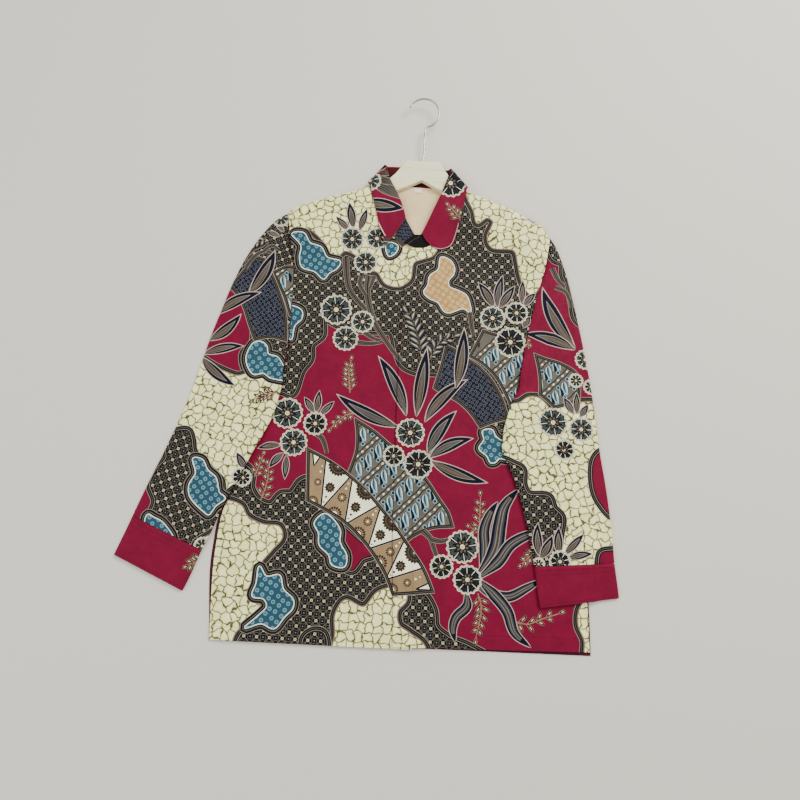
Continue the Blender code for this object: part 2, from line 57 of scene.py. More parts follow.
# %% Draw smooth lines
def flowing(points, closed=False, step=3.0):
    """A smooth curve through a few points, sampled about every step millimetres."""
    p = np.array(points, float)
    if closed:
        p = np.vstack([p[-1:], p, p[:2]])
    else:
        p = np.vstack([2 * p[0] - p[1], p, 2 * p[-1] - p[-2]])
    gap = np.sqrt(np.maximum(np.linalg.norm(np.diff(p, axis=0), axis=1), 0.01))
    found = []
    for i in range(1, len(p) - 2):
        a, b, c, d = p[i - 1:i + 3]
        before, here, after = gap[i - 1:i + 2]
        leave = ((b - a) / before - (c - a) / (before + here) + (c - b) / here) * here
        arrive = ((c - b) / here - (d - b) / (here + after) + (d - c) / after) * here
        count = max(1, math.ceil(np.linalg.norm(c - b) / step))
        t = (np.arange(count) / count)[:, None]
        found.append((2 * t**3 - 3 * t**2 + 1) * b + (t**3 - 2 * t**2 + t) * leave
                     + (3 * t**2 - 2 * t**3) * c + (t**3 - t**2) * arrive)
    if not closed:
        found.append(p[-2:-1])
    return np.vstack(found)


def outline_of(*lines):
    """One ring from smooth lines that meet at corners."""
    return np.vstack([flowing(line, step=2.6)[:-1] for line in lines])


def straight(points, step=3.0):
    """The same with straight lines between the points."""
    found = []
    for a, b in zip(points, points[1:]):
        count = max(1, math.ceil(math.dist(a, b) / step))
        found += [np.array(a) + (np.array(b) - np.array(a)) * k / count for k in range(count)]
    return np.array(found + [np.array(points[-1], float)])


def leftwards(line, closed=False):
    """The direction to the left of a line, at each of its points."""
    if closed:
        along = np.roll(line, -1, 0) - np.roll(line, 1, 0)
    else:
        along = np.gradient(line, axis=0)
    along /= np.maximum(np.linalg.norm(along, axis=1), 1e-9)[:, None]
    return np.column_stack([-along[:, 1], along[:, 0]])


def signed_area(ring):
    """The area in a ring, positive if it turns to the left."""
    nxt = np.roll(ring, -1, 0)
    return float((ring[:, 0] * nxt[:, 1] - nxt[:, 0] * ring[:, 1]).sum()) / 2


def turns_left(ring):
    return signed_area(ring) > 0


def run_along(line):
    """How far along a line each of its points is."""
    return np.append(0, np.cumsum(np.linalg.norm(np.diff(line, axis=0), axis=1)))


def spun_by(places, degrees):
    """Places turned clockwise round the origin."""
    turn = math.radians(degrees)
    return places @ np.array([[math.cos(turn), -math.sin(turn)], [math.sin(turn), math.cos(turn)]])


def grown(ring, by):
    """A ring moved outwards by a distance, or inwards if it is negative."""
    ring = ring if turns_left(ring) else ring[::-1]
    return ring - leftwards(ring, closed=True) * by


def inside(points, ring):
    """Which points a ring goes round: those with more of its sides going up than down on their right."""
    ring = ring if turns_left(ring) else ring[::-1]
    near = np.flatnonzero(((points >= ring.min(0)) & (points <= ring.max(0))).all(1))
    near = near[np.argsort(points[near, 1])]
    x, y = points[near].T
    a, b = ring, np.roll(ring, -1, 0)
    first = np.searchsorted(y, np.minimum(a[:, 1], b[:, 1]))
    count = np.searchsorted(y, np.maximum(a[:, 1], b[:, 1])) - first
    side = np.repeat(np.arange(len(ring)), count)
    point = np.arange(count.sum()) + np.repeat(first - np.cumsum(count) + count, count)
    start, span = a[side], b[side] - a[side]
    crossing = start[:, 0] + span[:, 0] * (y[point] - start[:, 1]) / np.where(span[:, 1] == 0, 1, span[:, 1])
    turns = np.where(x[point] < crossing, np.sign(span[:, 1]), 0)
    found = np.zeros(len(points), bool)
    found[near] = np.bincount(point, turns, len(near)) > 0.5
    return found


def distance_to(points, line):
    """How far each point lies from a line."""
    best = np.full(len(points), 1e9)
    for a, b in zip(line[:-1], line[1:]):
        along = b - a
        t = np.clip(((points - a) @ along) / max(along @ along, 1e-9), 0, 1)
        best = np.minimum(best, np.linalg.norm(points - a - t[:, None] * along, axis=1))
    return best


# %% [markdown]
# ## The levels of the layers
# A shirt that lies flat is a stack: the back on the floor, the lining on it, the hanger, then the
# fronts, and the sleeves beside them or over their edges. The model was built from these levels, so
# the same ones are used here, and the cloth comes to lie exactly where the solids are.

# %% The shirt's outlines and levels
SHOULDER = [
    (-228, 367), (-224, 376.5), (-216, 380.5), (-175, 397), (-125, 414), (-84.5, 430), (-60, 440),
    (0, 462), (60, 439), (82.5, 428.5), (110, 418), (142, 407.5), (172, 393), (190, 384.5), (212, 372),
    (227, 352)]
ARMHOLE_LEFT = [
    (-228, 367), (-224, 345), (-217, 308), (-212, 282), (-208, 255), (-206, 225), (-205, 195),
    (-204, 165), (-204, 135), (-205, 110), (-208, 84)]
ARMHOLE_RIGHT = [
    (227, 352), (224.5, 330), (219, 292), (213, 266), (207, 240), (201, 212), (196, 186), (191, 160),
    (187, 134), (183.5, 111), (181, 84)]
# Side seams.  Columns: y, x of the front panel, x of the back panel.
SIDE_LEFT = [
    (84, -208, -208), (10, -226, -227), (-70, -250, -252), (-144, -279, -283), (-200, -284, -289),
    (-240, -284, -289), (-341, -277, -277)]
SIDE_RIGHT = [
    (84, 181, 181), (20, 220, 221), (-50, 249, 251), (-120, 272, 275), (-190, 288, 290),
    (-250, 297, 299), (-321, 301, 303)]
FLY_LEFT = [(32, -335), (24, -180), (20, -60), (16, 100), (14, 240), (10, 300), (6, 316)]
FLY_RIGHT = [(2, -333), (-2, -260), (-8, -180), (-13, -60), (-18, 100), (-18, 240), (-16, 300), (-14, 317)]
NECK_LEFT = [
    (6, 316), (-14, 316), (-28, 318), (-42, 335), (-51, 347), (-61, 372), (-70, 397), (-74, 410),
    (-77.5, 419), (-84.5, 430)]
NECK_RIGHT = [
    (-14, 317), (0, 317), (16, 320), (30, 332), (40, 345), (53, 371), (64, 396), (69.5, 409),
    (72.5, 417), (82.5, 428.5)]
CLOTH = 1.4              # printed cotton with its lining, lying loose on each other
LINING = 1.0
SEAM = 0.3               # air between two layers
OVER_HANGER = 15.1       # underside of a front where it passes over the hanger
BODY_AIR = 1.9           # from the back up to a front
COLLAR_LIFT = 1.7        # the neck of the back lies on the collar's band

# Long soft folds.  Columns: x, y of both ends, half width and height.
FRONT_FOLDS = [
    (-151, 250, -143, 60, 13, 2.6), (-166, 210, -160, 20, 11, 1.6), (110, 150, 128, -40, 14, 1.8),
    (250, -318, 262, -262, 9, 2.2), (280, -318, 286, -280, 8, 1.8), (-120, -330, -100, -180, 13, 1.6),
    (60, 60, 66, -130, 13, 1.5)]
# Small creases that the solids leave out.  A negative height is a trough.
FRONT_CREASES = [
    (-180, 345, -120, 372, 7, 0.7), (-190, 230, -170, 150, 6, 0.6), (-100, 180, -92, 20, 8, -0.7),
    (-128, 60, -118, -60, 7, 0.6), (-215, 40, -190, -60, 7, -0.7), (-240, -90, -228, -200, 8, 0.8),
    (-262, -180, -255, -300, 7, -0.6), (-60, -60, -50, -220, 9, 0.6), (30, 250, 40, 120, 8, 0.6),
    (150, 350, 190, 300, 7, 0.8), (170, 250, 150, 150, 6, 0.6), (100, -60, 110, -220, 8, -0.7),
    (190, 40, 214, -60, 7, 0.7), (235, -268, 240, -318, 5, -1.0), (270, -270, 273, -318, 5, -1.0),
    (293, -268, 294, -318, 5, 0.8), (140, -230, 150, -318, 8, 0.6), (-30, -200, -30, -320, 7, 0.6),
    (45, -240, 52, -325, 7, -0.5)]
SLEEVE_FOLDS = [
    (-262, 96, -238, -20, 11, 2.6), (-300, 60, -262, -70, 11, 2.4), (-330, 60, -300, -120, 11, 2.0),
    (250, 70, 222, -60, 11, 2.4), (280, 60, 262, -110, 10, 2.0), (-262, 300, -240, 190, 12, 2.0),
    (246, 260, 228, 150, 12, 2.0)]
SLEEVE_CREASES = [
    (-322, 40, -300, -60, 4, -0.9), (-285, 10, -268, -90, 5, -1.0), (-250, 70, -232, 10, 4, -0.8),
    (-345, -20, -330, -110, 5, 0.7), (-380, -120, -352, -190, 6, 0.7),
    (-350, -110, -325, -190, 6, -0.6), (-290, 190, -300, 110, 6, 0.6), (-240, 300, -222, 240, 5, -0.8),
    (-275, 200, -262, 110, 6, 0.6), (230, 20, 214, -60, 4, -0.9), (262, 20, 250, -60, 5, -0.8),
    (296, 90, 300, -20, 6, 0.7), (270, -60, 262, -150, 6, 0.6), (300, -100, 300, -170, 6, -0.6),
    (245, -90, 235, -170, 6, -0.6), (240, 230, 222, 140, 5, -0.8), (262, 260, 275, 160, 6, 0.6),
    (235, 330, 246, 280, 5, 0.6)]


def ease(t):
    """0 below t = 0, 1 above t = 1, and an even curve between."""
    t = np.clip(t, 0.0, 1.0)
    return t * t * (3 - 2 * t)


def folds(table, x, y):
    """How much the folds of a table lift the cloth."""
    total = np.zeros_like(x)
    for x0, y0, x1, y1, half_width, height in table:
        length = math.hypot(x1 - x0, y1 - y0)
        run = ((x - x0) * (x1 - x0) + (y - y0) * (y1 - y0)) / length
        off = ((x - x0) * (y1 - y0) - (y - y0) * (x1 - x0)) / length
        taper = ease(run / (0.3 * length)) * ease((length - run) / (0.3 * length))
        total += height * taper * np.exp(-(off / half_width) ** 2)
    return total


def read(table, value, key, column):
    """A column of a table at some values of its key column."""
    rows = sorted(table, key=lambda row: row[key])
    return np.interp(value, [row[key] for row in rows], [row[column] for row in rows])


def back_underside(x, y):
    return COLLAR_LIFT * ease((y - 378) / 34)


def back_top(x, y):
    return back_underside(x, y) + CLOTH


def below_shoulder(x, y):
    return (read(SHOULDER, x, 0, 1) - y) * math.cos(math.radians(21))


def outside_back(x, y):
    """How far a point lies outside the back's side edge, negative inside it."""
    left = np.where(y < 84, read(SIDE_LEFT, y, 0, 2), read(ARMHOLE_LEFT, y, 1, 0))
    right = np.where(y < 84, read(SIDE_RIGHT, y, 0, 2), read(ARMHOLE_RIGHT, y, 1, 0))
    return np.where(x < 0, left - x, x - right)


def front_rest(x, y, at_edge=True):
    """The underside of the fronts without their folds: over the hanger, then down on the back."""
    depth = below_shoulder(x, y)
    rest = back_top(x, y) + BODY_AIR
    arm_end = 1 - 0.55 * ease((np.abs(x) - 210) / 17)
    level = rest + (OVER_HANGER - rest) * (1 - ease((depth - 40) / 78)) * arm_end
    if at_edge:
        seam = back_top(x, y) + SEAM
        level = seam + (level - seam) * np.sqrt(np.clip(depth / 7.5, 0.0, 1.0))
    return level


FRONT_CREASING = 1.5     # the fronts' small creases are this much deeper than their table says


def fly_lift(x):
    return 1.9 * (1 - ease((x - 36) / 22))


def front_under(x, y, lift):
    level = (front_rest(x, y) + folds(FRONT_FOLDS, x, y)
             + folds(FRONT_CREASES, x, y) * FRONT_CREASING + lift)
    seam = back_top(x, y) + SEAM
    tuck = np.where(y < 84, ease(-outside_back(x, y) / 26), 1.0)
    return seam + np.maximum(level - seam, 0.0) * tuck


def left_front_under(x, y):
    """The left front, which dips a little where the edge of the right one lies on it."""
    edge = read(FLY_RIGHT, y, 1, 0)
    return front_under(x, y, -1.1 * np.exp(-((x - edge + 2.0) / 4.5) ** 2))


def right_front_under(x, y):
    return front_under(x, y, fly_lift(x))


def sleeve_under(x, y):
    """On the floor, or on the body where the sleeve lies over its side."""
    beside = 1 - ease((outside_back(x, y) - 5) / 17)
    return 5.4 * beside * (1 - ease((y - 118) / 34))


sample = np.array([[0.0, 0.0], [-150.0, 200.0], [0.0, 430.0]])
print("front lies", left_front_under(*sample.T).round(1), "mm up at the middle, a fold and the neck")

# %% [markdown]
# ## Cutting a panel with its print
# Wax print has crisp edges between its dyes, so a picture of it would blur from near. Here the lines
# of the print become edges of the mesh instead. A constrained Delaunay triangulation takes the panel's
# outline, every line of the print and a loose grid for the folds, and joins them into triangles. Each
# triangle then belongs to the topmost shape of the print that goes round its middle, and gets that
# dye's material. This keeps a few large triangles where the cloth is plain and small ones at a flower.

# %% Cut a flat piece of cloth
INKS = []                # the names of the dyes, in the order in which they are first used


def ink_number(name):
    if name not in INKS:
        INKS.append(name)
    return INKS.index(name)


def shape(ink, ring, within=None):
    """One printed shape: a dye, its ring, and a ring that it is kept inside."""
    return {"ink": ink_number(ink), "ring": np.asarray(ring, float), "within": within}


def kept_clear(points, outline, gap):
    """The points that lie within an outline and no nearer to it than a gap."""
    points = points[inside(points, outline)]
    return points[distance_to(points, np.vstack([outline, outline[:1]])) > gap]


def loose_points(outline, grid, depths):
    """A loose grid for the folds, and rows just inside the outline, where a rounded edge bends."""
    low, high = outline.min(0), outline.max(0)
    rows = np.arange(low[1] - grid, high[1] + grid, grid * 0.87)
    field = [(x + (k % 2) * grid / 2, y) for k, y in enumerate(rows)
             for x in np.arange(low[0] - grid, high[0] + grid, grid)]
    inward = leftwards(outline, closed=True) * (1 if turns_left(outline) else -1)
    found = [kept_clear(np.array(field), outline, max(depths[0], grid / 4))]
    return np.vstack(found + [kept_clear(outline + inward * d, outline, d * 0.7) for d in depths])


def cut(outline, prints, ground, grid, depths=(0.8, 2.0, 4.0), weld=0.03):
    """Triangles that fill an outline, each with its dye."""
    low, high = outline.min(0), outline.max(0)
    used = [s for s in prints if (s["ring"].max(0) > low).all() and (s["ring"].min(0) < high).all()]
    rings = [outline] + [s["ring"] for s in used]
    edges, start = [], 0
    for ring in rings:
        count = len(ring)
        edges += [(start + i, start + (i + 1) % count) for i in range(count)]
        start += count
    points = np.vstack(rings + [loose_points(outline, grid, depths)])
    made = delaunay_2d_cdt([Vector(p) for p in points.tolist()], edges, [], 0, weld, False)
    places, faces = np.array([tuple(v) for v in made[0]]), np.array(made[2])
    middle = places[faces].mean(1)
    kept = inside(middle, outline)
    faces, middle = faces[kept], middle[kept]
    inks = np.full(len(faces), ink_number(ground))
    for s in used:
        ring = s["ring"]
        close = np.flatnonzero(((middle > ring.min(0)) & (middle < ring.max(0))).all(1))
        hit = inside(middle[close], ring)
        if s["within"] is not None:
            hit &= inside(middle[close], s["within"])
        inks[close[hit]] = s["ink"]
    wanted, faces = np.unique(faces, return_inverse=True)
    return places[wanted], faces.reshape(-1, 3), inks


def loop_of(faces):
    """The vertices round the edge of a cut piece, in order."""
    sides = np.vstack([faces[:, [0, 1]], faces[:, [1, 2]], faces[:, [2, 0]]])
    pairs = {(a, b) for a, b in sides.tolist()}
    follow = {a: b for a, b in pairs if (b, a) not in pairs}
    first = min(follow)
    loop, at = [first], follow[first]
    while at != first:
        loop.append(at)
        at = follow[at]
        if len(loop) > len(follow):
            raise ValueError("the edge of a cut piece touches itself")
    return np.array(loop)


# %% [markdown]
# ## Shells
# A garment is thin cloth with two sides, and each side can look different. A shell here is a list of
# layers, which are cut pieces lifted to their levels, and of strips that join the edges of two layers.
# The printed side has the fine triangles of the print, and the plain side far fewer.

# %% Gather layers and strips into an object
def new_shell():
    return {"points": [], "faces": [], "inks": [], "places": [], "count": 0}


def lifted(places, height):
    """Places on the flat cloth, seen from above, put at a height."""
    return np.column_stack([places, height])


def add_points(shell, points, places):
    """Adds vertices with their places on the flat cloth, and returns their numbers."""
    first = shell["count"]
    shell["points"].append(points)
    shell["places"].append(places)
    shell["count"] += len(points)
    return np.arange(first, first + len(points))


def add_layer(shell, places, faces, inks, points, turned=False, print_turn=0.0):
    """Adds a cut piece with each of its places moved to a point. Turned layers face down."""
    first = shell["count"]
    add_points(shell, points, spun_by(places, print_turn))
    shell["faces"].append((faces[:, ::-1] if turned else faces) + first)
    shell["inks"].append(np.broadcast_to(inks, len(faces)))
    return first


def add_strip(shell, upper, lower, ink, closed=True):
    """Faces between two rows of vertices, which keep pace with each other from start to end."""
    if closed:
        upper, lower = np.append(upper, upper[0]), np.append(lower, lower[0])
    points = np.vstack(shell["points"])
    runs = [run_along(points[row]) for row in (upper, lower)]
    paces = [run / max(run[-1], 1e-9) for run in runs]
    faces, i, j = [], 0, 0
    while i + j < len(upper) + len(lower) - 2:
        upper_next = j == len(lower) - 1 or (i < len(upper) - 1 and paces[0][i + 1] <= paces[1][j + 1])
        if upper_next:
            faces.append((upper[i], lower[j], upper[i + 1]))
            i += 1
        else:
            faces.append((upper[i], lower[j], lower[j + 1]))
            j += 1
    shell["faces"].append(np.array(faces))
    shell["inks"].append(np.full(len(faces), ink_number(ink)))


def put(name, data):
    """Puts a mesh, a lamp or a camera into the scene."""
    made = bpy.data.objects.new(name, data)
    bpy.context.scene.collection.objects.link(made)
    return made


def make_object(name, shell):
    """A mesh object from a shell, with one material for each dye that it shows."""
    points = np.vstack(shell["points"]) * MM
    faces, inks = np.vstack(shell["faces"]), np.concatenate(shell["inks"])
    places = np.vstack(shell["places"]) * MM
    mesh = bpy.data.meshes.new(name)
    mesh.from_pydata(points.tolist(), [], faces.tolist())
    shown = np.unique(inks)
    for number in shown:
        mesh.materials.append(finish_for(INKS[number]))
    mesh.polygons.foreach_set("material_index", np.searchsorted(shown, inks).astype(np.int32))
    layer = mesh.uv_layers.new(name="cloth")
    corners = np.empty(len(mesh.loops), np.int32)
    mesh.loops.foreach_get("vertex_index", corners)
    layer.data.foreach_set("uv", places[corners].astype(np.float32).ravel())
    mesh.polygons.foreach_set("use_smooth", np.full(len(mesh.polygons), True))
    mesh.update()
    made = put(name, mesh)
    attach(made, "root")
    print(f"{name}: {len(faces)} triangles, {len(shown)} dyes")
    return made


def plain_side(edge, inner, grid):
    """A coarser cut inside an edge, and the vertices round it from the same start."""
    places, faces, _ = cut(edge, (), inner, grid, (min(0.8, grid / 4), 4.0), 0.0005)
    loop = loop_of(faces)
    start = int(np.argmin(np.linalg.norm(places[loop] - edge[0], axis=1)))
    return places, faces, np.roll(loop, -start)


def lying(under, thick=CLOTH):
    """Where cloth lies that rests at some level: share 0 is its underside and 1 its upper side."""
    return lambda places, share: lifted(places, under(*places.T) + thick * share)


def panel(name, outline, prints, ground, surface, inner, grid=6.0, print_above=True):
    """A panel with thickness, printed on one side and plain on the other."""
    places, faces, inks = cut(outline, prints, ground, grid)
    loop = loop_of(faces)
    plain_places, plain_faces, plain_loop = plain_side(places[loop], inner, grid * 1.5)
    shell = new_shell()
    printed = add_layer(shell, places, faces, inks, surface(places, float(print_above)), not print_above)
    plain = add_layer(shell, plain_places, plain_faces, ink_number(inner),
                      surface(plain_places, 1.0 - print_above), print_above)
    beyond = places[loop] - leftwards(places[loop], closed=True) * 0.3
    rim = add_points(shell, surface(beyond, 0.5), beyond)
    upper, lower = loop + printed, plain_loop + plain
    if not print_above:
        upper, lower = lower, upper
    add_strip(shell, upper, rim, ground)
    add_strip(shell, rim, lower, ground)
    return make_object(name, shell)


# %% [markdown]
# ## Printed cotton
# The cloth is a plain-woven cotton, lightly pressed, with a soft sheen from the wax that is left in
# it. Its threads are about a third of a millimetre apart, too fine to show, so they are drawn three
# times as coarse. Dye sinks in unevenly, so each colour wanders a little. Every dye shares this cloth
# and adds its own colour or small repeating pattern. `add` makes one node with its settings and links.

# %% Colours and nodes
THREAD = 1.0             # millimetres from thread to thread as drawn, about three times the real ones
MOTTLE = 26.0            # how far apart the paler and darker places of the dye lie
SLUB = 7.0               # how far apart the thicker places of the thread lie


def linear(code):
    """An sRGB hex colour as linear red, green and blue."""
    values = [int(code[i:i + 2], 16) / 255 for i in (1, 3, 5)]
    return tuple(v / 12.92 if v <= 0.04045 else ((v + 0.055) / 1.055) ** 2.4 for v in values) + (1.0,)


def feed(tree, node, inputs):
    """Links or sets the inputs of a node."""
    for socket, value in inputs.items():
        if isinstance(value, bpy.types.NodeSocket):
            tree.links.new(value, node.inputs[socket])
        else:
            node.inputs[socket].default_value = value


def add(tree, kind, inputs, output=0, **settings):
    """Adds a node, sets it, links or sets its inputs and returns one of its outputs."""
    made = tree.nodes.new("ShaderNode" + kind)
    for name, value in settings.items():
        setattr(made, name, value)
    feed(tree, made, inputs)
    return made.outputs[output]


def new_material(name):
    """A material with its nodes and its shader."""
    made = bpy.data.materials.new(name)
    made.use_nodes = True
    return made, made.node_tree, made.node_tree.nodes["Principled BSDF"]


def on_cloth(tree, pitch, turn=0.0):
    """The place on the flat cloth, counted in repeats of a pattern of some millimetres."""
    place = add(tree, "UVMap", {}, uv_map="cloth")
    size = 1 / (pitch * MM)
    return add(tree, "Mapping", {"Vector": place, "Rotation": (0, 0, math.radians(turn)),
                                 "Scale": (size, size, size)})


# %% The cloth that all the dyes share
def cotton(name, colour, pattern=None, roughness=0.68, uneven=0.10):
    """Woven cotton in one colour, or with a pattern that turns the colour into a printed ground."""
    made, tree, shader = new_material(name)
    ground = pattern(tree) if pattern else linear(colour)
    mottle = add(tree, "TexNoise", {"Vector": on_cloth(tree, MOTTLE), "Scale": 1.0, "Detail": 4.0,
                                    "Roughness": 0.6}, noise_dimensions="2D")
    fading = add(tree, "MapRange", {"Value": mottle, "From Min": 0.3, "From Max": 0.7,
                                    "To Min": 1 - uneven, "To Max": 1 + uneven})
    dyed = add(tree, "HueSaturation", {"Color": ground, "Value": fading})
    across, along = [add(tree, "TexWave", {"Vector": on_cloth(tree, THREAD), "Scale": 0.5,
                                           "Distortion": 1.2, "Detail Scale": 0.4}, output=1,
                         bands_direction=way) for way in "XY"]
    slub = add(tree, "TexNoise", {"Vector": on_cloth(tree, SLUB), "Scale": 1.0, "Detail": 3.0},
               noise_dimensions="2D")
    weave = add(tree, "Math", {0: across, 1: along}, operation="MAXIMUM")
    relief = add(tree, "Math", {0: weave, 1: 0.35, 2: slub}, operation="MULTIPLY_ADD")
    bump = add(tree, "Bump", {"Height": relief, "Strength": 0.35, "Distance": 0.0004})
    gloss = add(tree, "MapRange", {"Value": slub, "From Min": 0.3, "From Max": 0.7,
                                   "To Min": roughness - 0.07, "To Max": roughness + 0.07})
    feed(tree, shader, {"Base Color": dyed, "Roughness": gloss, "Normal": bump, "Sheen Weight": 0.02,
                        "Sheen Roughness": 0.45, "Specular IOR Level": 0.12})
    return made


# %% [markdown]
# ### The small repeating patterns
# Four grounds of the print repeat at a few millimetres. Truntum is a dark ground strewn with small
# stars, 14 mm apart on the slant. Isen cells are pale, wobbly stars that fit together like a puzzle,
# about 13 mm across, with brown lines. Rings are dotted 11 mm apart on blue and tan, and 4 mm apart
# on navy. Each is worked out in its own repeats, so its real size is one number.

# %% Patterns of the grounds
def round_a_point(tree, place, shift=0.0):
    """Within each square of a lattice: the distance from its middle and the angle round it."""
    moved = add(tree, "VectorMath", {0: place, 1: (shift, shift, 0)})
    part = add(tree, "VectorMath", {0: moved}, operation="FRACTION")
    offset = add(tree, "VectorMath", {0: part, 1: (-0.5, -0.5, 0)})
    flat = add(tree, "VectorMath", {0: offset, 1: (1, 1, 0)}, operation="MULTIPLY")
    far = add(tree, "VectorMath", {0: flat}, output=1, operation="LENGTH")
    x = add(tree, "SeparateXYZ", {0: flat}, output=0)
    y = add(tree, "SeparateXYZ", {0: flat}, output=1)
    return far, add(tree, "Math", {0: y, 1: x}, operation="ARCTAN2")


def rays(tree, angle, count, low, high, part):
    """A radius that goes up and down so many times on the way round; a high part makes thin rays."""
    turns = add(tree, "Math", {0: angle, 1: float(count)}, operation="MULTIPLY")
    wave = add(tree, "Math", {0: turns}, operation="COSINE")
    return add(tree, "MapRange", {"Value": wave, "From Min": part, "From Max": 1.0,
                                  "To Min": low, "To Max": high})


def under(tree, value, limit, blur=0.02):
    """A mask that is 1 where a value is under a limit."""
    gap = add(tree, "Math", {0: limit, 1: value}, operation="SUBTRACT")
    return add(tree, "MapRange", {"Value": gap, "From Min": -blur, "From Max": blur})


def beside(tree, value, line, width, blur=0.02):
    """A mask that is 1 on a line, where a value is near a given one."""
    off = add(tree, "Math", {0: value, 1: line}, operation="SUBTRACT")
    gap = add(tree, "Math", {0: off}, operation="ABSOLUTE")
    return under(tree, gap, width, blur)


def painted(tree, ground, coats):
    """A ground with coats of dye over it, each where its mask is 1."""
    colour = linear(ground)
    for mask, dye in coats:
        colour = add(tree, "Mix", {"Factor": mask, 6: colour, 7: linear(dye)}, output=2,
                     data_type="RGBA")
    return colour


def truntum(tree):
    """Small pale stars on a dark ground, with thin arcs that pass from star to star."""
    place = on_cloth(tree, 13.8, 45)
    far, angle = round_a_point(tree, place)
    apart, _ = round_a_point(tree, place, 0.5)
    return painted(tree, "#060507", [
        (beside(tree, far, 0.45, 0.018), "#6E675A"),
        (under(tree, apart, 0.07), "#7C7872"),
        (under(tree, far, rays(tree, angle, 4, 0.12, 0.46, 0.86)), "#7C7159"),
        (under(tree, far, 0.155), "#C9BD98"),
        (under(tree, far, 0.070), "#15100C")])


def cells(tree):
    """Pale, wobbly cells that fit together like a puzzle, with brown lines between them."""
    place = on_cloth(tree, 13.6)
    wobble = add(tree, "TexNoise", {"Vector": on_cloth(tree, 8.4), "Scale": 1.0, "Detail": 0.0},
                 output=1, noise_dimensions="2D")
    shift = add(tree, "VectorMath", {0: wobble, 1: (-0.5, -0.5, -0.5)})
    bent = add(tree, "VectorMath", {0: shift, 1: (0.50, 0.50, 0), 2: place},
               operation="MULTIPLY_ADD")
    edge = add(tree, "TexVoronoi", {"Vector": bent, "Scale": 1.0, "Randomness": 0.75},
               voronoi_dimensions="2D", feature="DISTANCE_TO_EDGE")
    blotch = add(tree, "TexVoronoi", {"Vector": bent, "Scale": 1.0, "Randomness": 0.75},
                 output=1, voronoi_dimensions="2D")
    spot = add(tree, "MapRange", {"Value": blotch, "From Min": 0.72, "From Max": 0.95,
                                  "To Max": 0.30})
    return painted(tree, "#F8F6AE", [
        (spot, "#B5AE7C"), (under(tree, edge, 0.14, 0.10), "#DAD48A"),
        (under(tree, edge, 0.062, 0.02), "#51482B")])


def rings(pitch, ground, ring, dot, middle, width):
    """A pattern of rings with a dot in them, on a ground."""
    def pattern(tree):
        far = add(tree, "TexVoronoi", {"Vector": on_cloth(tree, pitch, 30), "Scale": 1.0,
                                       "Randomness": 0.22}, voronoi_dimensions="2D")
        return painted(tree, ground, [(beside(tree, far, middle, width, 0.03), ring),
                                      (under(tree, far, 0.07, 0.03), dot)])
    return pattern


# %% [markdown]
# ### The dyes
# Batik is dyed again and again, from the palest colour to the darkest, and each colour is kept by wax.
# The list below names each dye for what it is on the cloth, with the colour that it leaves on cotton.

# %% The list of dyes
FLAT_DYES = {
    "crimson": "#6E0528", "stand crimson": "#450909", "navy": "#04041A", "dark line": "#050405",
    "grey brown": "#3F3933", "leaf core": "#514A40", "leaf grey": "#3A3C3E", "leaf streak": "#5C4E3F",
    "stone grey": "#4B4A47", "leaf vein": "#1B130E", "cream line": "#DAD4B0", "white line": "#E0E8D3",
    "tan": "#8E7452", "pale cream": "#F7F3CC", "brown": "#2E2318", "petal": "#06070C",
    "petal grey": "#343B3C", "petal black": "#15181F", "sprig": "#8A6A52", "light blue": "#7AA2AE",
    "deep blue": "#28424F", "parang ground": "#5B554A", "dim brown": "#5A4F3C", "rose line": "#B09C8E",
    "edge grey": "#85796C"}
GROUNDS = {
    "truntum": truntum, "cells": cells,
    "teal": rings(10.5, "#254754", "#6D9BA4", "#4E727E", 0.23, 0.065),
    "tan rings": rings(9.5, "#A98450", "#DEBA7B", "#CFA96C", 0.27, 0.06),
    "navy rings": rings(6.5, "#050516", "#4C4E55", "#2B3043", 0.30, 0.09)}
finishes = {}


def finish_for(ink):
    """The material of a dye, made once."""
    if ink not in finishes:
        if ink in GROUNDS:
            finishes[ink] = cotton(f"batik cotton, {ink}", "#888888", GROUNDS[ink])
        elif ink in FLAT_DYES:
            finishes[ink] = cotton(f"batik cotton, {ink}", FLAT_DYES[ink])
        else:
            name, colour, roughness, uneven = OTHER_FINISHES[ink]
            finishes[ink] = cotton(name, colour, None, roughness, uneven)
    return finishes[ink]


# Cloth without print.  Columns: name, colour, roughness and how uneven the dye is.
OTHER_FINISHES = {
    "reverse": ("reverse of the batik cotton", "#3E1420", 0.8, 0.10),
    "thread": ("dark red sewing thread", "#3A0A18", 0.5, 0.03),
    "lining": ("cream cotton lining", "#E7C898", 0.75, 0.04),
    "label tape": ("woven label tape", "#E5E6E2", 0.5, 0.03)}
print(len(FLAT_DYES) + len(GROUNDS), "dyes")

# %% [markdown]
# ## The motifs
# The print has a handful of motifs, and each is drawn here by its own rule: a flower is
# rings of lobes and petals, a leaf is a lens round a bent midrib, a sprig is a stem with drops, and
# a patch of ground has bands of line round it, where the wax held back one dye after another.
# Each function returns shapes from the lowest to the topmost.

# %% Strokes, leaves and blades
def ribbon(line, widths):
    """A ring round a line, with a half width at each of its points."""
    line = np.asarray(line, float)
    side = leftwards(line) * np.broadcast_to(widths, len(line))[:, None]
    return np.vstack([line - side, (line + side)[::-1]])


def part_of(line, start, end):
    """The stretch of a line between two shares of its points."""
    count = len(line) - 1
    return line[int(round(start * count)):int(round(end * count)) + 1]


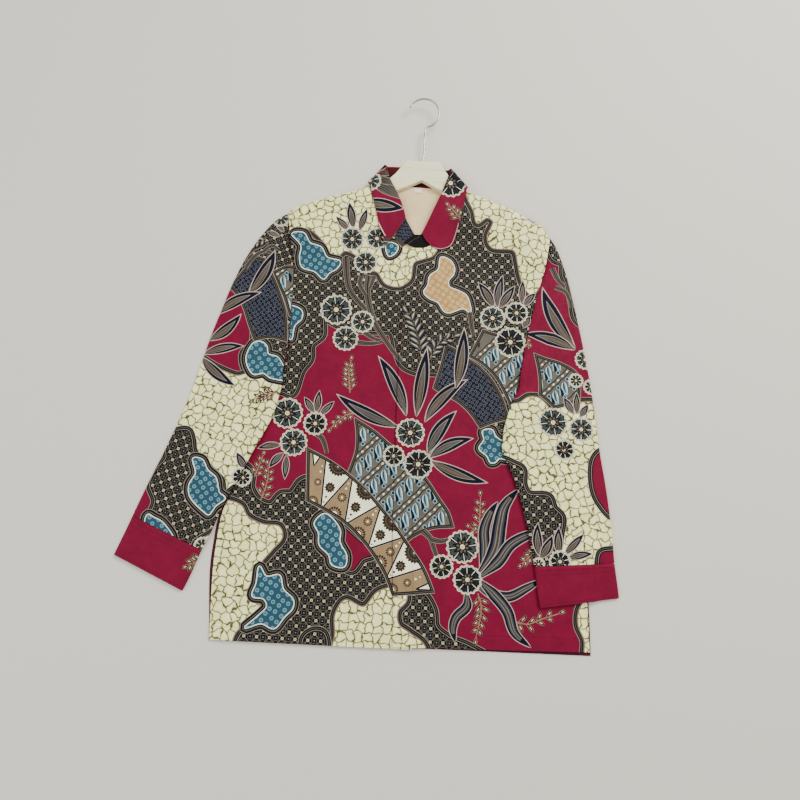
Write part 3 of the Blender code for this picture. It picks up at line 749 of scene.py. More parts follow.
def lens(line, half_width, start=0.0, end=1.0, belly=0.42):
    """A leaf-shaped ring on a stretch of a line, widest at belly."""
    line = part_of(line, start, end)
    t = np.linspace(0, 1, len(line))
    rise = np.clip(t / belly, 0, 1)
    fall = np.clip((t - belly) / (1 - belly), 0, 0.9999)
    swell = np.sin(rise * math.pi / 2) ** 0.75 * np.cos(fall * math.pi / 2) ** 0.9
    return ribbon(line, np.maximum(half_width * swell, 0.02))


def bent_line(base, tip, bend, count):
    """A line from base to tip that bows to the left by a share of its length."""
    base, tip = np.array(base, float), np.array(tip, float)
    t = np.linspace(0, 1, count)[:, None]
    left = np.array([-(tip - base)[1], (tip - base)[0]])
    return base + (tip - base) * t + left * bend * 4 * t * (1 - t)


LONG_LEAF = 35.0         # longer leaves have a streak and two veins in their core


def leaf(tip, base, half, bend, core="leaf core"):
    """A lance leaf: a thin pale outline, a navy blade and a streaked core that stops short of the tip."""
    line = bent_line(base, tip, bend, 25)
    core_half = half * 0.47
    found = [shape("rose line", lens(line, half + 0.3, belly=0.46)),
             shape("navy", lens(line, half - 1.0, 0.04, 0.96, 0.46)),
             shape("edge grey", lens(line, core_half + 0.2, 0.0, 0.80, 0.5)),
             shape(core, lens(line, core_half - 0.5, 0.0, 0.76, 0.5))]
    if math.dist(tip, base) > LONG_LEAF:
        streak = "leaf streak" if core == "leaf core" else "leaf core"
        found.append(shape(streak, lens(line, core_half * 0.36, 0.04, 0.64, 0.5)))
        normal = leftwards(line)
        for off in (-0.62, 0.62):
            vein = line + normal * core_half * off
            found.append(shape("leaf vein", lens(vein, 0.4, 0.08, 0.58, 0.5)))
    return found


def blade(points, half_width):
    """A long grass blade along a path, widest below its middle and drawn out to a point."""
    line = flowing(points, step=5)
    t = np.linspace(0, 1, len(line))
    swell = np.minimum(1, 0.34 + t * 2.6) * np.cos(t ** 2.4 * math.pi / 2) ** 0.7
    found = []
    for ink, share, less in (("rose line", 1.0, -0.2), ("navy", 1.0, 1.0), ("leaf grey", 0.56, 0.2),
                             ("edge grey", 0.27, 0.0), ("leaf core", 0.19, 0.0),
                             ("leaf vein", 0.05, 0.0)):
        widths = np.maximum(half_width * swell * share - less, 0.03)
        last = len(line) if share > 0.9 else int(len(line) * 0.88)
        found.append(shape(ink, ribbon(line[:last], widths[:last])))
    return found


def branch(points, half_width):
    """A grey-brown branch with a pale and a dark edge and a dark vein."""
    line = flowing(points, step=5)
    t = half_width * 1.2 * np.linspace(1, 0.45, len(line))
    return [shape("edge grey", ribbon(line, t + 1.9)), shape("dark line", ribbon(line, t + 1.0)),
            shape("leaf core", ribbon(line, t)), shape("leaf vein", ribbon(line, t * 0.28))]


def sprig(points, pairs, leaf_length, shadow=None):
    """A thin stem with pairs of drop-shaped leaves, each with a dark core and a pale glint."""
    line = flowing(points, step=2)
    found, drops = [shape("sprig", ribbon(line, 0.85))], []
    for k in range(pairs):
        share = 0.08 + 0.84 * k / pairs
        i = int(share * (len(line) - 1))
        ahead = line[min(i + 2, len(line) - 1)] - line[max(i - 2, 0)]
        heading = math.atan2(ahead[1], ahead[0])
        size = leaf_length * (1.22 - 0.36 * share)
        for side in (-1, 1):
            turn = heading + side * (1.05 - 0.25 * share)
            root = line[min(i + (side > 0), len(line) - 1)]
            end = root + size * np.array([math.cos(turn - side * 0.2), math.sin(turn - side * 0.2)])
            drops.append((root, end, -0.10 * side))
    ahead = (line[-1] - line[-3]) / math.dist(line[-1], line[-3])
    drops.append((line[-1], line[-1] + ahead * leaf_length * 0.85, 0.05))
    for root, end, bend in drops:
        spine = bent_line(root, end, bend, 9)
        if shadow:
            found += [shape(shadow, lens(spine + (0.8, -1.2), 5.2, belly=0.62)),
                      shape("parang ground", lens(spine, 2.9, belly=0.62)),
                      shape("cream line", lens(spine, 0.5, 0.25, 0.88, 0.5))]
        else:
            found += [shape("sprig", lens(spine, 3.0, belly=0.62)),
                      shape("brown", lens(spine, 2.1, 0.12, 0.95, 0.55)),
                      shape("pale cream", lens(spine, 0.6, 0.38, 0.80, 0.5))]
    return found


# %% Flowers
PETALS = 8
GREY, BLACK = "petal grey", "petal black"


def round_ring(centre, radius, lobes=0, depth=0.0, count=None, start=0.0):
    """A circle, or a ring of lobes."""
    count = count or max(12, lobes * 6)
    t = np.arange(count) * 2 * math.pi / count
    r = radius * (1 + depth * (np.abs(np.cos(lobes * (t - start) / 2)) - 0.6)) if lobes else radius
    return np.column_stack([centre[0] + r * np.cos(t), centre[1] + r * np.sin(t)])


def petal_ring(ink, centre, low, high, count, half_width, start=0.0, within=None):
    """Small petals that stand apart round a point."""
    found = []
    for k in range(count):
        turn = start + k * 2 * math.pi / count
        ray = np.array([math.cos(turn), math.sin(turn)])
        spine = np.array(centre) + ray * np.linspace(low, high, 5)[:, None]
        found.append(shape(ink, lens(spine, half_width, belly=0.6), within))
    return found


def flower(x, y, radius, start, petal):
    """A round flower: a thin scalloped rim, grey and black petals between pale spokes, a dotted heart."""
    centre = (x, y)
    between = start + math.pi / PETALS
    found = [shape(ink, round_ring(centre, radius - less, PETALS * 2, 0.11, start=start))
             for ink, less in (("cream line", 0.0), ("edge grey", 1.3), ("cream line", 2.1), ("petal", 3.0))]
    found += petal_ring(petal, centre, radius * 0.38, radius - 3.2, PETALS, radius * 0.19, between)
    found += petal_ring("petal", centre, radius * 0.30, radius * 0.66, PETALS, radius * 0.075, between)
    for k in range(PETALS):
        turn = start + k * 2 * math.pi / PETALS
        ray = np.array([math.cos(turn), math.sin(turn)])
        path = np.array(centre) + ray * np.array([[radius * 0.40], [radius - 2.6]])
        found.append(shape("cream line", ribbon(path, (0.30, 0.75))))
    found.append(shape("petal", round_ring(centre, radius * 0.38, PETALS, 0.16, count=32, start=start)))
    found += petal_ring("dim brown", centre, radius * 0.17, radius * 0.40, PETALS, radius * 0.075, between)
    return found + [shape(ink, round_ring(centre, radius * share, count=count))
                    for ink, share, count in (("brown", 0.20, 14), ("pale cream", 0.145, 12),
                                              ("dim brown", 0.09, 10), ("pale cream", 0.05, 8))]


def daisy(x, y, radius):
    """A small flat flower of ten petals in one brown, with a paler eye."""
    return [shape("brown", round_ring((x, y), radius, 10, 0.30)),
            shape("dim brown", round_ring((x, y), radius * 0.46, count=12)),
            shape("brown", round_ring((x, y), radius * 0.24, count=8))]


# %% [markdown]
# ### Patches and fans
# Every patch of ground ends in several thin lines, one for each time that the wax was laid on again
# a little further in. A fan has its lines inside its own edge.

# %% Patches of ground with their bands
# Lines round a patch, from the outermost: how far out each reaches, and its dye.
BANDS = {
    "dark": (
        (9.0, "edge grey"), (8.0, "dark line"), (5.9, "leaf core"), (4.9, "dark line"),
        (2.8, "edge grey"), (1.9, "dark line")),
    "cream": (
        (8.6, "edge grey"), (7.6, "dark line"), (5.6, "leaf core"), (4.7, "dark line"),
        (2.9, "leaf core"), (1.4, "sprig")),
    "teal": (
        (9.2, "edge grey"), (8.3, "dark line"), (5.4, "leaf core"), (3.6, "dark line"),
        (1.7, "white line"))}
# Lines in the frame of a fan, from its edge inwards.
FRAME_LINES = ((0.6, "edge grey"), (-0.6, "dark line"), (-2.1, "leaf core"), (-3.3, "dark line"),
               (-5.0, "dim brown"))
FIELD_EDGE = -5.6        # where the ground within a frame begins


def patch(ink, bands, points):
    """A patch of ground in a wavy outline, with bands of line round it."""
    ring = flowing(points, closed=True, step=3.2)
    return [shape(line, grown(ring, by)) for by, line in BANDS[bands]] + [shape(ink, ring)]


def framed(ink, ring):
    """A fan or band of ground in a frame of pale, dark and grey-brown lines."""
    return [shape(line, grown(ring, by)) for by, line in FRAME_LINES + ((FIELD_EDGE, ink),)]


# %% [markdown]
# ### Parang
# Parang is an old court pattern: rows of curved blades on the slant, with a chain of small diamonds
# between one row and the next. Here it fills a fan, so its rows are cut off at the frame.

# %% Parang: slanting rows of blades between chains of diamonds
ROW_WIDTH = 36.5         # from one chain of diamonds to the next
DIAMOND_STEP = 10.7      # from diamond to diamond; a blade comes at every second one
SLANT = 47.0             # degrees that the rows rise
BLADE_LEAN = np.array([-0.27, 0.963])


def parang_step(spot, along, across, field):
    """One repeat of a row: a blue blade, a dark blade beside it and two loops with tails."""
    middle = spot + across * ROW_WIDTH / 2
    beside_it = middle + along * DIAMOND_STEP
    dark_blade = bent_line(beside_it - BLADE_LEAN * 10, beside_it + BLADE_LEAN * 10, -0.06, 9)
    blue_blade = bent_line(middle - BLADE_LEAN * 12, middle + BLADE_LEAN * 12, 0.10, 11)
    found = [shape("petal grey", lens(dark_blade, 3.6, belly=0.5), field),
             shape("petal", lens(dark_blade, 2.4, belly=0.5), field),
             shape("petal", lens(blue_blade, 5.6, belly=0.62), field),
             shape("white line", lens(blue_blade, 4.6, belly=0.62), field),
             shape("light blue", lens(blue_blade, 3.3, 0.0, 0.97, 0.62), field),
             shape("deep blue", lens(blue_blade + (-0.7, 0), 1.7, 0.1, 0.95, 0.62), field)]
    for side in (-1, 1):
        loop = middle - (across * 9.3 - along * 12.5) * side
        tail = bent_line(loop, loop - BLADE_LEAN * 13 * side, 0.10 * side, 7)
        found += [shape("light blue", ribbon(tail, 1.0), field),
                  shape("light blue", round_ring(loop, 3.5, count=14), field),
                  shape("petal", round_ring(loop, 2.3, count=12), field),
                  shape("petal grey", round_ring(loop, 1.1, count=8), field)]
    return found


def parang(ring, start=(0.0, 0.0)):
    """Fills a framed ring with the rows."""
    found = framed("parang ground", ring)
    field = grown(ring, FIELD_EDGE)
    centre = field.mean(0)
    reach = np.linalg.norm(field - centre, axis=1).max() + 20
    along = np.array([math.cos(math.radians(SLANT)), math.sin(math.radians(SLANT))])
    across = np.array([along[1], -along[0]])
    near_field = grown(field, 22)
    for row in range(int(-reach // ROW_WIDTH), int(reach // ROW_WIDTH) + 2):
        row_middle = centre + np.array(start) + across * ROW_WIDTH * row
        for side in (-3.4, 3.4):
            chain = straight([row_middle - along * reach, row_middle + along * reach], 9) + across * side
            wave = np.array([0.7 * (-1) ** k for k in range(len(chain))])[:, None]
            found.append(shape("dark line", ribbon(chain + across * wave, 0.75), field))
        for k in range(int(-reach // DIAMOND_STEP), int(reach // DIAMOND_STEP) + 2):
            spot = row_middle + along * DIAMOND_STEP * k
            if not inside((spot + across * 14)[None], near_field)[0]:
                continue
            long, short = along * 3.0, across * 1.9
            found.append(shape("cream line", spot + np.array([long, short, -long, -short]), field))
            if k % 2 == 0:
                found += parang_step(spot, along, across, field)
    return found


# %% [markdown]
# ### Tumpal
# Tumpal is a border of tall triangles. This one is bent into an arc, with white triangles that stand
# on its outer edge and tan ones between them, and flowers in both.

# %% Tumpal: a curved band of triangles
# The white teeth.  Columns: share of the outer edge where the base starts and ends, share of the
# inner edge under the tip, and how deep the tip reaches.
TEETH = [(0.035, 0.085, 0.0, 0.28), (0.113, 0.275, 0.13, 1.0), (0.285, 0.48, 0.35, 1.0),
         (0.49, 0.68, 0.60, 1.0), (0.69, 0.866, 0.865, 1.0), (0.945, 0.985, 0.98, 0.4)]
# The tan teeth between them.  Columns: share of the outer edge over the tip, share of the inner edge
# at the middle of the base, and the size of the flowers.
TAN_TEETH = [
    (0.105, 0.05, 0.8), (0.28, 0.24, 1.0), (0.485, 0.475, 1.0), (0.685, 0.735, 1.0),
    (0.90, 0.955, 0.85)]


def white_tooth(a, b, tip, field, full):
    """A white triangle with half a rosette on its base, a daisy and two dots."""
    triangle = straight([a, b, tip, a], 4)[:-1]
    base = (a + b) / 2
    inward = (tip - base) / np.linalg.norm(tip - base)
    found = [shape(ink, grown(triangle, by), field)
             for ink, by in (("rose line", 2.0), ("dark line", 1.6), ("pale cream", -1.0))]
    if full:
        within = grown(triangle, -1.4)
        rosette = base - inward * 1.0
        for ink, radius, lobes in (("brown", 16.5, 20), ("dim brown", 12.2, 0), ("brown", 11.0, 16),
                                   ("grey brown", 7.0, 0), ("pale cream", 3.2, 0)):
            ring = round_ring(rosette, radius, lobes, 0.16, count=None if lobes else 24)
            found.append(shape(ink, ring, within))
        found += daisy(*(base + (tip - base) * 0.50), 7.8)
        found += [shape("brown", round_ring(base + (tip - base) * far, size, count=9))
                  for far, size in ((0.72, 1.9), (0.84, 1.4))]
    return found


def tan_tooth(tip, base, size, field):
    """A ring of petals, half a ring on the base, and two pale dots near the tip."""
    reach = base - tip
    middle = tip + reach * 0.54
    found = petal_ring("brown", middle, 3.6 * size, 7.8 * size, 11, 1.4 * size, within=field)
    found.append(shape("brown", round_ring(middle, 2.7 * size, count=12), field))
    found.append(shape("pale cream", round_ring(middle, 1.7 * size, count=10), field))
    low = tip + reach * 0.95
    found += petal_ring("brown", low, 7.0 * size, 12.5 * size, 16, 1.8 * size, within=field)
    found.append(shape("brown", round_ring(low, 6.2 * size, count=18), field))
    found.append(shape("pale cream", round_ring(low, 4.8 * size, count=16), field))
    return found + [shape("pale cream", round_ring(tip + reach * far, radius, count=9), field)
                    for far, radius in ((0.20, 1.2), (0.32, 1.7))]


def tumpal(outer, inner):
    """A band between two arcs, with white and tan teeth."""
    top, low = flowing(outer, step=4), flowing(inner, step=4)
    ring = np.vstack([top, low[::-1]])
    field = grown(ring, FIELD_EDGE)

    def at(line, share):
        place = share * (len(line) - 1)
        k = min(int(place), len(line) - 2)
        return line[k] + (line[k + 1] - line[k]) * (place - k)

    found = framed("tan", ring)
    for tip, base, size in TAN_TEETH:
        found += tan_tooth(at(top, tip), at(low, base), size, field)
    for start, end, tip, depth in TEETH:
        a, b = at(top, start), at(top, end)
        found += white_tooth(a, b, (a + b) / 2 * (1 - depth) + at(low, tip) * depth, field, depth == 1.0)
    return found


# %% [markdown]
# ## The print of the body
# The two fronts are cut so that the print runs on across the fly. Wide patches of crimson, dark
# truntum and pale cells come first, then the blue and tan patches, the three fans and the curved
# band of triangles, and last the branches, leaves and flowers that lie over all of them. The places
# are in millimetres from the middle of the shirt.

# %% The patches and fans of the body
TUMPAL_OUTER = [(-157, -38), (-110, -60), (-60, -95), (-15, -140), (20, -182), (45, -215), (62, -250)]
TUMPAL_INNER = [(-150, -124), (-118, -138), (-85, -156), (-50, -187), (-20, -226), (-4, -259)]
# Fans.  Each has one line for each of its edges.
NAVY_FAN = [
    [(40, 72), (50, 112), (57, 150)],
    [(57, 150), (76, 142), (97, 128), (118, 114), (141, 90), (158, 60), (168, 29)],
    [(168, 29), (146, 22), (120, 10)], [(120, 10), (100, 36), (80, 52), (58, 62), (40, 72)]]
PARANG_RIGHT = [
    [(96, 130), (107, 155), (118, 180)], [(118, 180), (140, 174), (186, 172)],
    [(186, 172), (192, 130), (182, 66)], [(182, 66), (172, 40)],
    [(172, 40), (159, 68), (143, 95), (120, 117), (96, 130)]]
PARANG_MIDDLE = [
    [(-85, 16), (-52, -2), (-22, -24), (8, -48), (38, -74), (62, -105), (78, -126), (87, -150)],
    [(87, -150), (52, -155), (24, -169), (8, -184)],
    [(8, -184), (-8, -180), (-24, -154), (-46, -130), (-68, -108), (-92, -86)],
    [(-92, -86), (-84, -60), (-79, -38), (-80, -10), (-85, 16)]]
# Patches, from the lowest.  Columns: ground, kind of bands and points of the outline.
BODY_PATCHES = [
    ("truntum", "dark", [
        (-260, 450), (-260, 60), (-205, 52), (-190, 48), (-178, 88), (-166, 108), (-166, 132),
        (-150, 150), (-150, 180), (-120, 170), (-80, 165), (-52, 166), (-34, 165), (-22, 132),
        (-10, 108), (18, 98), (42, 100), (90, 90), (130, 20), (180, 12), (230, 40), (260, 450)]),
    ("cells", "cream", [
        (-260, 460), (-262, 334), (-222, 331), (-205, 331), (-190, 336), (-160, 315), (-148, 296),
        (-138, 291), (-125, 304), (-105, 298), (-84, 272), (-66, 270), (-50, 250), (-28, 246),
        (-10, 258), (-5, 290), (10, 298), (26, 305), (36, 325), (30, 460)]),
    ("cells", "cream", [
        (78, 470), (80, 415), (93, 388), (100, 366), (116, 377), (127, 370), (119, 342), (127, 326),
        (165, 321), (173, 300), (178, 280), (188, 256), (200, 246), (214, 262), (262, 270),
        (262, 460)]),
    ("truntum", "dark", [
        (-330, -60), (-262, -72), (-243, -84), (-240, -110), (-226, -128), (-205, -134), (-190, -117),
        (-174, -114), (-160, -94), (-146, -90), (-128, -120), (-60, -170), (0, -250), (-20, -400),
        (-330, -400)]),
    ("cells", "cream", [
        (-330, -126), (-285, -130), (-252, -138), (-240, -154), (-214, -165), (-188, -167),
        (-182, -182), (-196, -202), (-214, -228), (-222, -262), (-219, -280), (-204, -288),
        (-215, -302), (-238, -328), (-252, -370), (-330, -380)]),
    ("truntum", "dark", [
        (12, -246), (44, -254), (60, -276), (65, -300), (86, -315), (118, -326), (150, -345),
        (120, -390), (0, -380)]),
    ("cells", "cream", [
        (-88, -375), (-86, -320), (-88, -292), (-75, -270), (-46, -278), (-26, -255), (0, -246),
        (16, -250), (18, -264), (6, -280), (9, -300), (26, -311), (50, -328), (60, -375)]),
    ("truntum", "dark", [(-128, -350), (-132, -330), (-118, -319), (-104, -322), (-100, -350)]),
    ("cells", "cream", [
        (330, -236), (294, -246), (284, -264), (284, -284), (293, -304), (296, -345), (330, -350)]),
    ("crimson", "dark", [
        (-92, -160), (-62, -180), (-38, -198), (-54, -206), (-68, -224), (-82, -218), (-84, -190)]),
    ("teal", "teal", [
        (-216, 325), (-196, 327), (-185, 312), (-165, 306), (-154, 290), (-131, 284), (-135, 272),
        (-148, 262), (-156, 251), (-172, 263), (-195, 270), (-200, 286), (-199, 306)]),
    ("teal", "teal", [(-226, 197), (-202, 198), (-188, 191), (-187, 177), (-197, 165), (-201, 140)]),
    ("teal", "teal", [
        (-212, -229), (-200, -243), (-180, -240), (-172, -260), (-155, -275), (-155, -287),
        (-166, -300), (-180, -318), (-200, -312), (-224, -320), (-206, -302), (-194, -287),
        (-200, -276), (-218, -273), (-214, -254)]),
    ("teal", "teal", [
        (-118, -142), (-133, -157), (-125, -172), (-122, -190), (-106, -204), (-100, -218), (-81, -220),
        (-79, -204), (-91, -184), (-93, -164)]),
    ("teal", "teal", [
        (125, 6), (133, 10), (141, 9), (145, 1), (154, -6), (166, -9), (166, -36), (154, -35),
        (147, -42), (140, -43), (134, -33), (121, -22), (128, -7)]),
    ("teal", "teal", [(-54, 322), (-42, 324), (-34, 318), (-38, 306), (-48, 300)]),
    ("tan rings", "teal", [
        (42, 303), (58, 298), (65, 285), (64, 274), (56, 262), (58, 251), (73, 245), (87, 238),
        (93, 226), (96, 208), (84, 214), (60, 205), (52, 207), (41, 221), (25, 228), (16, 238),
        (22, 250), (25, 268), (38, 280)])]


def body_ground():
    found = []
    for ink, bands, points in BODY_PATCHES:
        found += patch(ink, bands, points)
    found += parang(outline_of(*PARANG_MIDDLE))
    found += parang(outline_of(*PARANG_RIGHT), (4, 6))
    found += framed("navy rings", outline_of(*NAVY_FAN))
    found += tumpal(TUMPAL_OUTER, TUMPAL_INNER)
    return found


# %% The leaves, branches and flowers of the body
# Leaves.  Columns: tip x, y, base x, y, half width and bend.
BODY_LEAVES = [
    (-54, 122, 0, 22, 11.5, -0.05), (27, 142, 16, 22, 11.5, 0.0), (98, 92, 30, 14, 11, 0.08),
    (-118, 53, -10, 4, 11, 0.05), (82, 38, 38, -38, 11, 0.07), (112, -6, 40, -44, 10, 0.08),
    (138, -76, 42, -46, 10.5, -0.05), (87, 182, 78, 74, 11, -0.03), (-144, 361, -118, 338, 6, 0),
    (-123, 390, -112, 342, 8, 0.0), (-91, 380, -102, 340, 6.5, 0), (-169, 44, -150, 18, 6, 0.0),
    (-145, 57, -147, 18, 6.5, 0.0), (-119, 40, -142, 14, 6, 0.0), (106, 263, 136, 218, 8.5, -0.04),
    (149, 279, 141, 218, 8, 0.04), (170, 261, 144, 218, 8, 0), (183, 272, 182, 228, 6, 0.0),
    (206, 250, 186, 224, 6.5, 0.05), (-237, -46, -198, -38, 6, -0.05),
    (-214, -76, -193, -50, 6.5, -0.05), (-187, -93, -188, -52, 6, 0.0), (197, 208, 186, 186, 6, 0.0)]
# The leaves, by their place in the table, that are grey and not brown.
GREY_LEAVES = {0, 3, 4, 5, 9, 11, 13, 15, 18, 20, 21}
# Branches and blades of grass.  Columns: points and half width.
BODY_BRANCHES = [
    ([(-122, 292), (-118, 262), (-112, 238), (-96, 216), (-74, 196)], 3.4),
    ([(-80, 262), (-80, 232), (-74, 205), (-60, 172), (-44, 150), (-30, 132), (-14, 114)], 3.4),
    ([(-92, 262), (-94, 246), (-82, 226)], 2.2), ([(-70, 262), (-76, 240)], 2.0),
    ([(-92, 142), (-66, 142), (-48, 146)], 2.2), ([(-84, 164), (-66, 152), (-52, 148)], 2.2),
    ([(-148, -12), (-134, -22), (-127, -36), (-124, -46)], 2.6),
    ([(38, -158), (50, -168), (56, -182), (62, -196)], 2.8),
    ([(52, -170), (66, -172), (80, -168)], 2.2), ([(95, 208), (100, 180), (104, 166)], 2.6)]
BODY_BLADES = [
    ([(132, -212), (136, -180), (134, -150), (142, -124), (154, -104)], 9.7),
    ([(128, -218), (152, -180), (158, -140), (164, -112), (186, -82)], 12.0),
    ([(130, -222), (158, -196), (176, -170), (206, -152), (232, -146)], 9.7),
    ([(126, -236), (150, -246), (176, -248), (202, -234), (228, -218)], 8.5),
    ([(128, -226), (152, -246), (174, -270), (186, -300), (212, -320)], 9.7),
    ([(110, -246), (112, -266), (96, -284), (92, -300), (97, -320)], 8.5)]
# Sprigs.  Columns: the stem's points, pairs of leaves, leaf length and the dye behind the leaves.
BODY_SPRIGS = [
    ([(-95, 56), (-98, 78), (-100, 96), (-98, 108)], 5, 16, None),
    ([(-80, 24), (-98, 18), (-112, 6), (-120, -4)], 4, 13, None),
    ([(-222, -128), (-216, -106), (-214, -88), (-216, -74)], 4, 16, None),
    ([(-236, -92), (-230, -72), (-226, -58)], 3, 13, None),
    ([(126, -158), (126, -134), (126, -112), (126, -100)], 4, 16, None),
    ([(148, -156), (128, -156), (114, -148)], 3, 13, None),
    ([(218, -176), (204, -188), (196, -196)], 3, 14, None),
    ([(128, -246), (134, -266), (132, -288), (128, -310)], 5, 16, None),
    ([(184, -284), (206, -286), (226, -278), (252, -268)], 4, 16, None),
    ([(17, 128), (13, 148), (6, 170), (-2, 188), (-9, 199)], 6, 19, "navy"),
    ([(34, 124), (38, 138), (48, 152), (60, 159), (70, 163)], 4, 16, "navy")]
# Flowers.  Columns: x, y, radius, turn and the dye of the petals.
BODY_FLOWERS = [
    (-113, 325, 20, 0.0, GREY), (-71, 330, 19, 0.3, GREY), (-87, 286, 20, 0.1, GREY),
    (-130, 197, 26, 0.2, GREY), (-84, 179, 19, 0.5, GREY), (-110, 148, 21, 0.0, GREY),
    (134, 200, 21, 0.4, GREY), (174, 212, 19, 0.1, BLACK), (165, 160, 25, 0.2, BLACK),
    (-194, 15, 25, 0.3, GREY), (-147, 1, 19, 0.0, BLACK), (-179, -32, 22, 0.2, GREY),
    (-16, -43, 17, 0.1, BLACK), (8, -4, 23, 0.3, GREY), (24, -54, 23, 0.0, BLACK),
    (101, -178, 25, 0.2, GREY), (70, -210, 18, 0.3, BLACK), (111, -227, 22, 0.1, BLACK),
    (199, 388, 18, 0.2, BLACK), (-254, -94, 14, 0.1, BLACK)]


def growth(branches, sprigs, blades, leaves, flowers, grey=()):
    """What grows over the grounds, from the lowest to the topmost; grey lists the grey leaves."""
    found = []
    for points, half_width in branches:
        found += branch(points, half_width)
    for points, pairs, size, shadow in sprigs:
        found += sprig(points, pairs, size, shadow)
    for points, half_width in blades:
        found += blade(points, half_width)
    for k, (tip_x, tip_y, base_x, base_y, half_width, bend) in enumerate(leaves):
        core = "stone grey" if k in grey else "leaf core"
        found += leaf((tip_x, tip_y), (base_x, base_y), half_width, bend, core)
    for row in flowers:
        found += flower(*row)
    return found


body_print = body_ground() + growth(BODY_BRANCHES, BODY_SPRIGS, BODY_BLADES, BODY_LEAVES, BODY_FLOWERS,
                                    GREY_LEAVES)
print(len(body_print), "printed shapes on the body")

# %% [markdown]
# ## The fronts
# Each front is one panel, from the shoulder and armhole down to the hem. The right one lies on the
# left one along the fly, whose buttons are hidden. The print faces up, and the plain dark red
# reverse faces down. The edges are turned in and stitched, so they end in a small round and not in
# a sharp cut.

# %% Cut the fronts
def column(table, which):
    return [(row[which], row[0]) for row in table]


left_shoulder = [p for p in SHOULDER if -228 <= p[0] <= -84]
right_shoulder = [p for p in SHOULDER if p[0] >= 82]
front_left_edge = outline_of(column(SIDE_LEFT, 1)[::-1], ARMHOLE_LEFT[::-1], left_shoulder,
                             NECK_LEFT[::-1], FLY_LEFT[::-1], [FLY_LEFT[0], column(SIDE_LEFT, 1)[-1]])
front_right_edge = outline_of(NECK_RIGHT, right_shoulder, ARMHOLE_RIGHT, column(SIDE_RIGHT, 1),
                              [column(SIDE_RIGHT, 1)[-1], FLY_RIGHT[0]], FLY_RIGHT)
front_left = panel("front_left_cloth", front_left_edge, body_print, "crimson",
                   lying(left_front_under), "reverse")
front_right = panel("front_right_cloth", front_right_edge, body_print, "crimson",
                    lying(right_front_under), "reverse")
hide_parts("front_left")
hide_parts("front_right")

# %% [markdown]
# ## The back
# The back is one panel, and it lies on the floor with its print down, so its underside stays flat.
# Its print is the body's, mirrored. Only a narrow edge of it shows beside and below the fronts.

# %% Cut the back
back_hem_left, back_hem_right = (-277, -341), (303, -326)
back_edge = outline_of(column(SIDE_LEFT, 2)[::-1], ARMHOLE_LEFT[::-1], left_shoulder,
                       [(-84.5, 430), (82.5, 428.5)], right_shoulder, ARMHOLE_RIGHT,
                       column(SIDE_RIGHT, 2)[:-1] + [back_hem_right], [back_hem_right, back_hem_left])
SMALLEST_BELOW = 6.0     # shapes under this size are left out of the print that faces the floor
mirrored_print = [shape(INKS[s["ink"]], s["ring"] * (-1, 1),
                        None if s["within"] is None else s["within"] * (-1, 1))
                  for s in body_print if np.ptp(s["ring"], axis=0).max() > SMALLEST_BELOW]
back = panel("back_cloth", back_edge, mirrored_print, "crimson", lying(back_underside), "reverse",
             print_above=False)
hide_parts("back")

# %% [markdown]
# ## The lining and its label
# Inside the neck the back is faced with plain cream cotton, and a small blank tape is sewn on below
# the collar. Where the collar pulls at it, the facing has two short folds.

# %% Cut the lining and the label
LINING_LEFT = [(-58, 292), (-66, 345), (-72, 390), (-74, 412), (-75, 432)]
LINING_RIGHT = [(50, 292), (57, 345), (64, 390), (66, 412), (67, 432)]
NECK_FOLDS = [(22, 434, 30, 396, 2.2, 0.9), (-44, 434, -40, 400, 2.5, 0.8), (-30, 420, -6, 330, 6, 0.5)]
LABEL_CENTRE, LABEL_SIZE, LABEL_THICK = (-6.0, 425.5), (13.0, 8.0), 0.6


def lining_under(x, y):
    return back_top(x, y) + 0.4


def label_under(x, y):
    return lining_under(x, y) + LINING + SEAM + 0.25 * np.cos((x - LABEL_CENTRE[0]) / 3.0)


lining_edge = outline_of(LINING_LEFT[::-1], [LINING_LEFT[0], LINING_RIGHT[0]], LINING_RIGHT,
                         [LINING_RIGHT[-1], LINING_LEFT[-1]])


def lining_folded(x, y):
    return lining_under(x, y) + np.minimum(folds(NECK_FOLDS, x, y), 0.9)


lining_back = panel("lining_cloth", lining_edge, (), "lining", lying(lining_folded, LINING), "lining",
                    grid=4.0)
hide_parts("lining_back")
half_label = np.array(LABEL_SIZE) / 2
corner = [np.array(LABEL_CENTRE) + half_label * k for k in ((-1, -1), (1, -1), (1, 1), (-1, 1), (-1, -1))]
label = panel("label_tape", straight(corner, 0.8)[:-1], (), "label tape",
              lying(label_under, LABEL_THICK), "label tape", grid=1.2)
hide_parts("label")

# %% [markdown]
# ## Sleeves and cuffs
# A sleeve is a tube that lies flat, so it has two layers of cloth with a little air between them and
# a soft round fold at each side. Both layers are the same cut piece, one facing up and one down. Near
# a fold they bend towards each other along a quarter circle, and inside there is a plain second wall.

# %% Make a tube that lies flat
FOLD_RADIUS = 5.0        # how far from its side a flattened tube starts to bend over


def swell(points, lines, wall=0.0):
    """0 at the folds of a tube and 1 further in, along a quarter circle."""
    far = np.minimum(distance_to(points, lines[0]), distance_to(points, lines[1])) - wall
    return np.sqrt(1 - (1 - np.clip(far / (FOLD_RADIUS - wall), 0, 1)) ** 2)


def thinned(ring, gap=0.8):
    """A ring without the points that follow another too closely."""
    kept = [ring[0]]
    for point in ring[1:]:
        if min(math.dist(point, kept[-1]), math.dist(point, ring[0])) > gap:
            kept.append(point)
    return np.array(kept)


